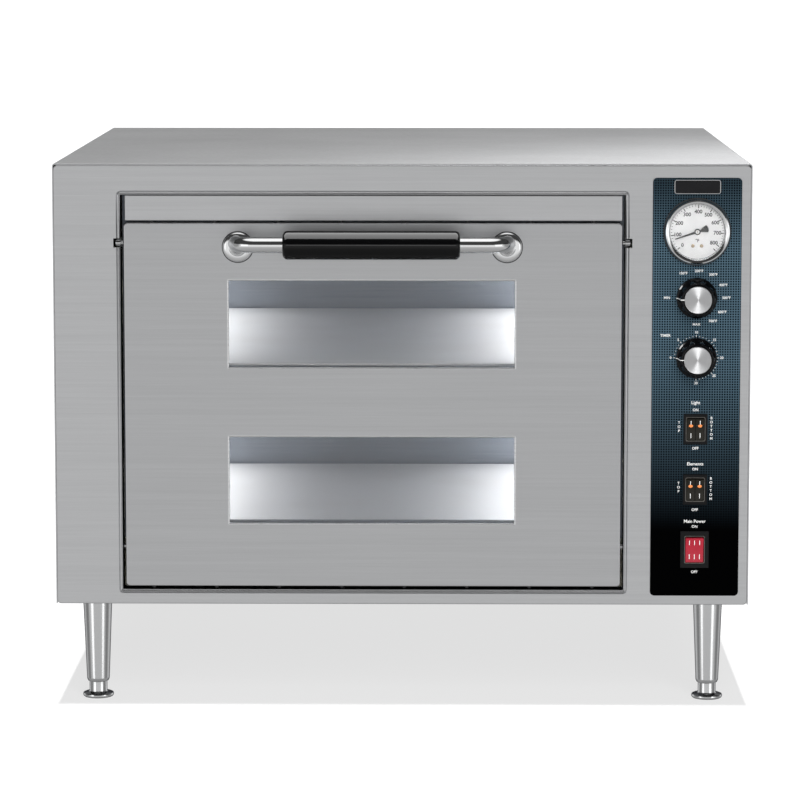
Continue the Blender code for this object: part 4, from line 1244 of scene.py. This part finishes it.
def height_profile(nodes, up):
    """The studio's brightness from the height of a direction."""
    ramp = nodes.node("ShaderNodeValToRGB", Fac=nodes.span(up, 0, 1, -1, 1))
    stops = ramp.color_ramp.elements
    stops.remove(stops[1])
    for index, (height, level) in enumerate(FRONT_PROFILE):
        stop = stops[0] if index == 0 else stops.new((height + 1) / 2)
        stop.position = (height + 1) / 2
        stop.color = (*[level / PROFILE_TOP] * 3, 1)
    return nodes.math("MULTIPLY", ramp.outputs[0], PROFILE_TOP)


def softbox(nodes, level, *edges):
    """A soft-edged patch of a level: each edge is (component, where it is dark, where it is full)."""
    for component, dark, full in edges:
        start, end = min(dark, full), max(dark, full)
        edge = nodes.span(component, 0 if dark < full else 1, 1 if dark < full else 0, start, end)
        level = nodes.math("MULTIPLY", level, edge)
    return level


def build_lights(casing, grip, legs, knobs, caps):
    """Lights for the casing's edge, the grip, the legs, the knobs, the prints and the ends of each deck."""
    above_edge, edge = (0.25, FRONT - 0.02, 1.05), (0.20, FRONT + 0.02, 0.55)
    shine_on(area_light("front_edge", above_edge, edge, 1.0, 0.3, 2.8, 95), casing)
    axis = middle("handle_grip")
    shine_on(area_light("grip_top", axis + Vector((0, 0, 1)), axis, 2.5, 1.3, 71), grip)
    shine_on(area_light("grip_front", axis + Vector((0, -2.2, 0.2)), axis, 2.0, 0.25, 4), grip)
    for side in (-1, 1):
        beside = (side * 1.7, FRONT - 1.6, 0.0)
        shine_on(area_light("leg_box", beside, (0, FRONT, 0.06), 0.7, 1.6, 3.9), *legs)
    controls = (PANEL_X, FRONT, 0.39)
    shine_on(area_light("knob_glint", (PANEL_X - 1.1, FRONT - 0.9, 1.15), controls, 0.8, 0.5, 42), *knobs)
    shine_on(area_light("cap_sheen", (PANEL_X - 1.4, FRONT - 1.3, 0.20), controls, 1.1, 0.9, 9), *caps)
    fill = area_light("print_fill", (0.6, -2.6, 1.6), (0.2, FRONT, 0.35), 1.6, 1.6, 60)
    fill.visible_glossy = False
    for name in ("upper", "lower"):
        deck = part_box(f"{name}_deck_stone")[1].z
        for share, power in ((0.05, 0.95), (0.95, 1.75)):
            x, y = LINER_LOW.x + (LINER_HIGH.x - LINER_LOW.x) * share, FRONT + 0.31
            area_light(f"{name}_glow", (x, y, deck + 0.09), (x, y, deck), 0.03, 0.52, power, 155)


def build_camera():
    """Long lens, just above the oven and a little right of its middle."""
    data = bpy.data.cameras.new("camera")
    data.sensor_width = 36
    data.lens = 162.2
    data.shift_y = -0.07
    camera = bpy.data.objects.new("camera", data)
    camera.location = (0.041, FRONT - 3.65, 0.793)
    camera.rotation_euler = (math.radians(90 - 6.53), 0, math.radians(0.673))
    bpy.context.scene.collection.objects.link(camera)
    bpy.context.scene.camera = camera


build_front_face()
casing = build_wrap()
build_lintel()
build_gasket_clips()
build_door()
build_window_trim()
build_glasses()
grip = build_handle()
build_rosettes()
build_door_pins()
legs = build_legs()
build_overlay()
build_badge()
build_gauge()
build_dial()
knobs, caps = build_knobs()
build_switches()
paint_nodes()
build_stage(casing)
build_world()
build_lights(casing, grip, legs, knobs, caps)
build_camera()
bpy.context.scene.view_settings.view_transform = "Standard"
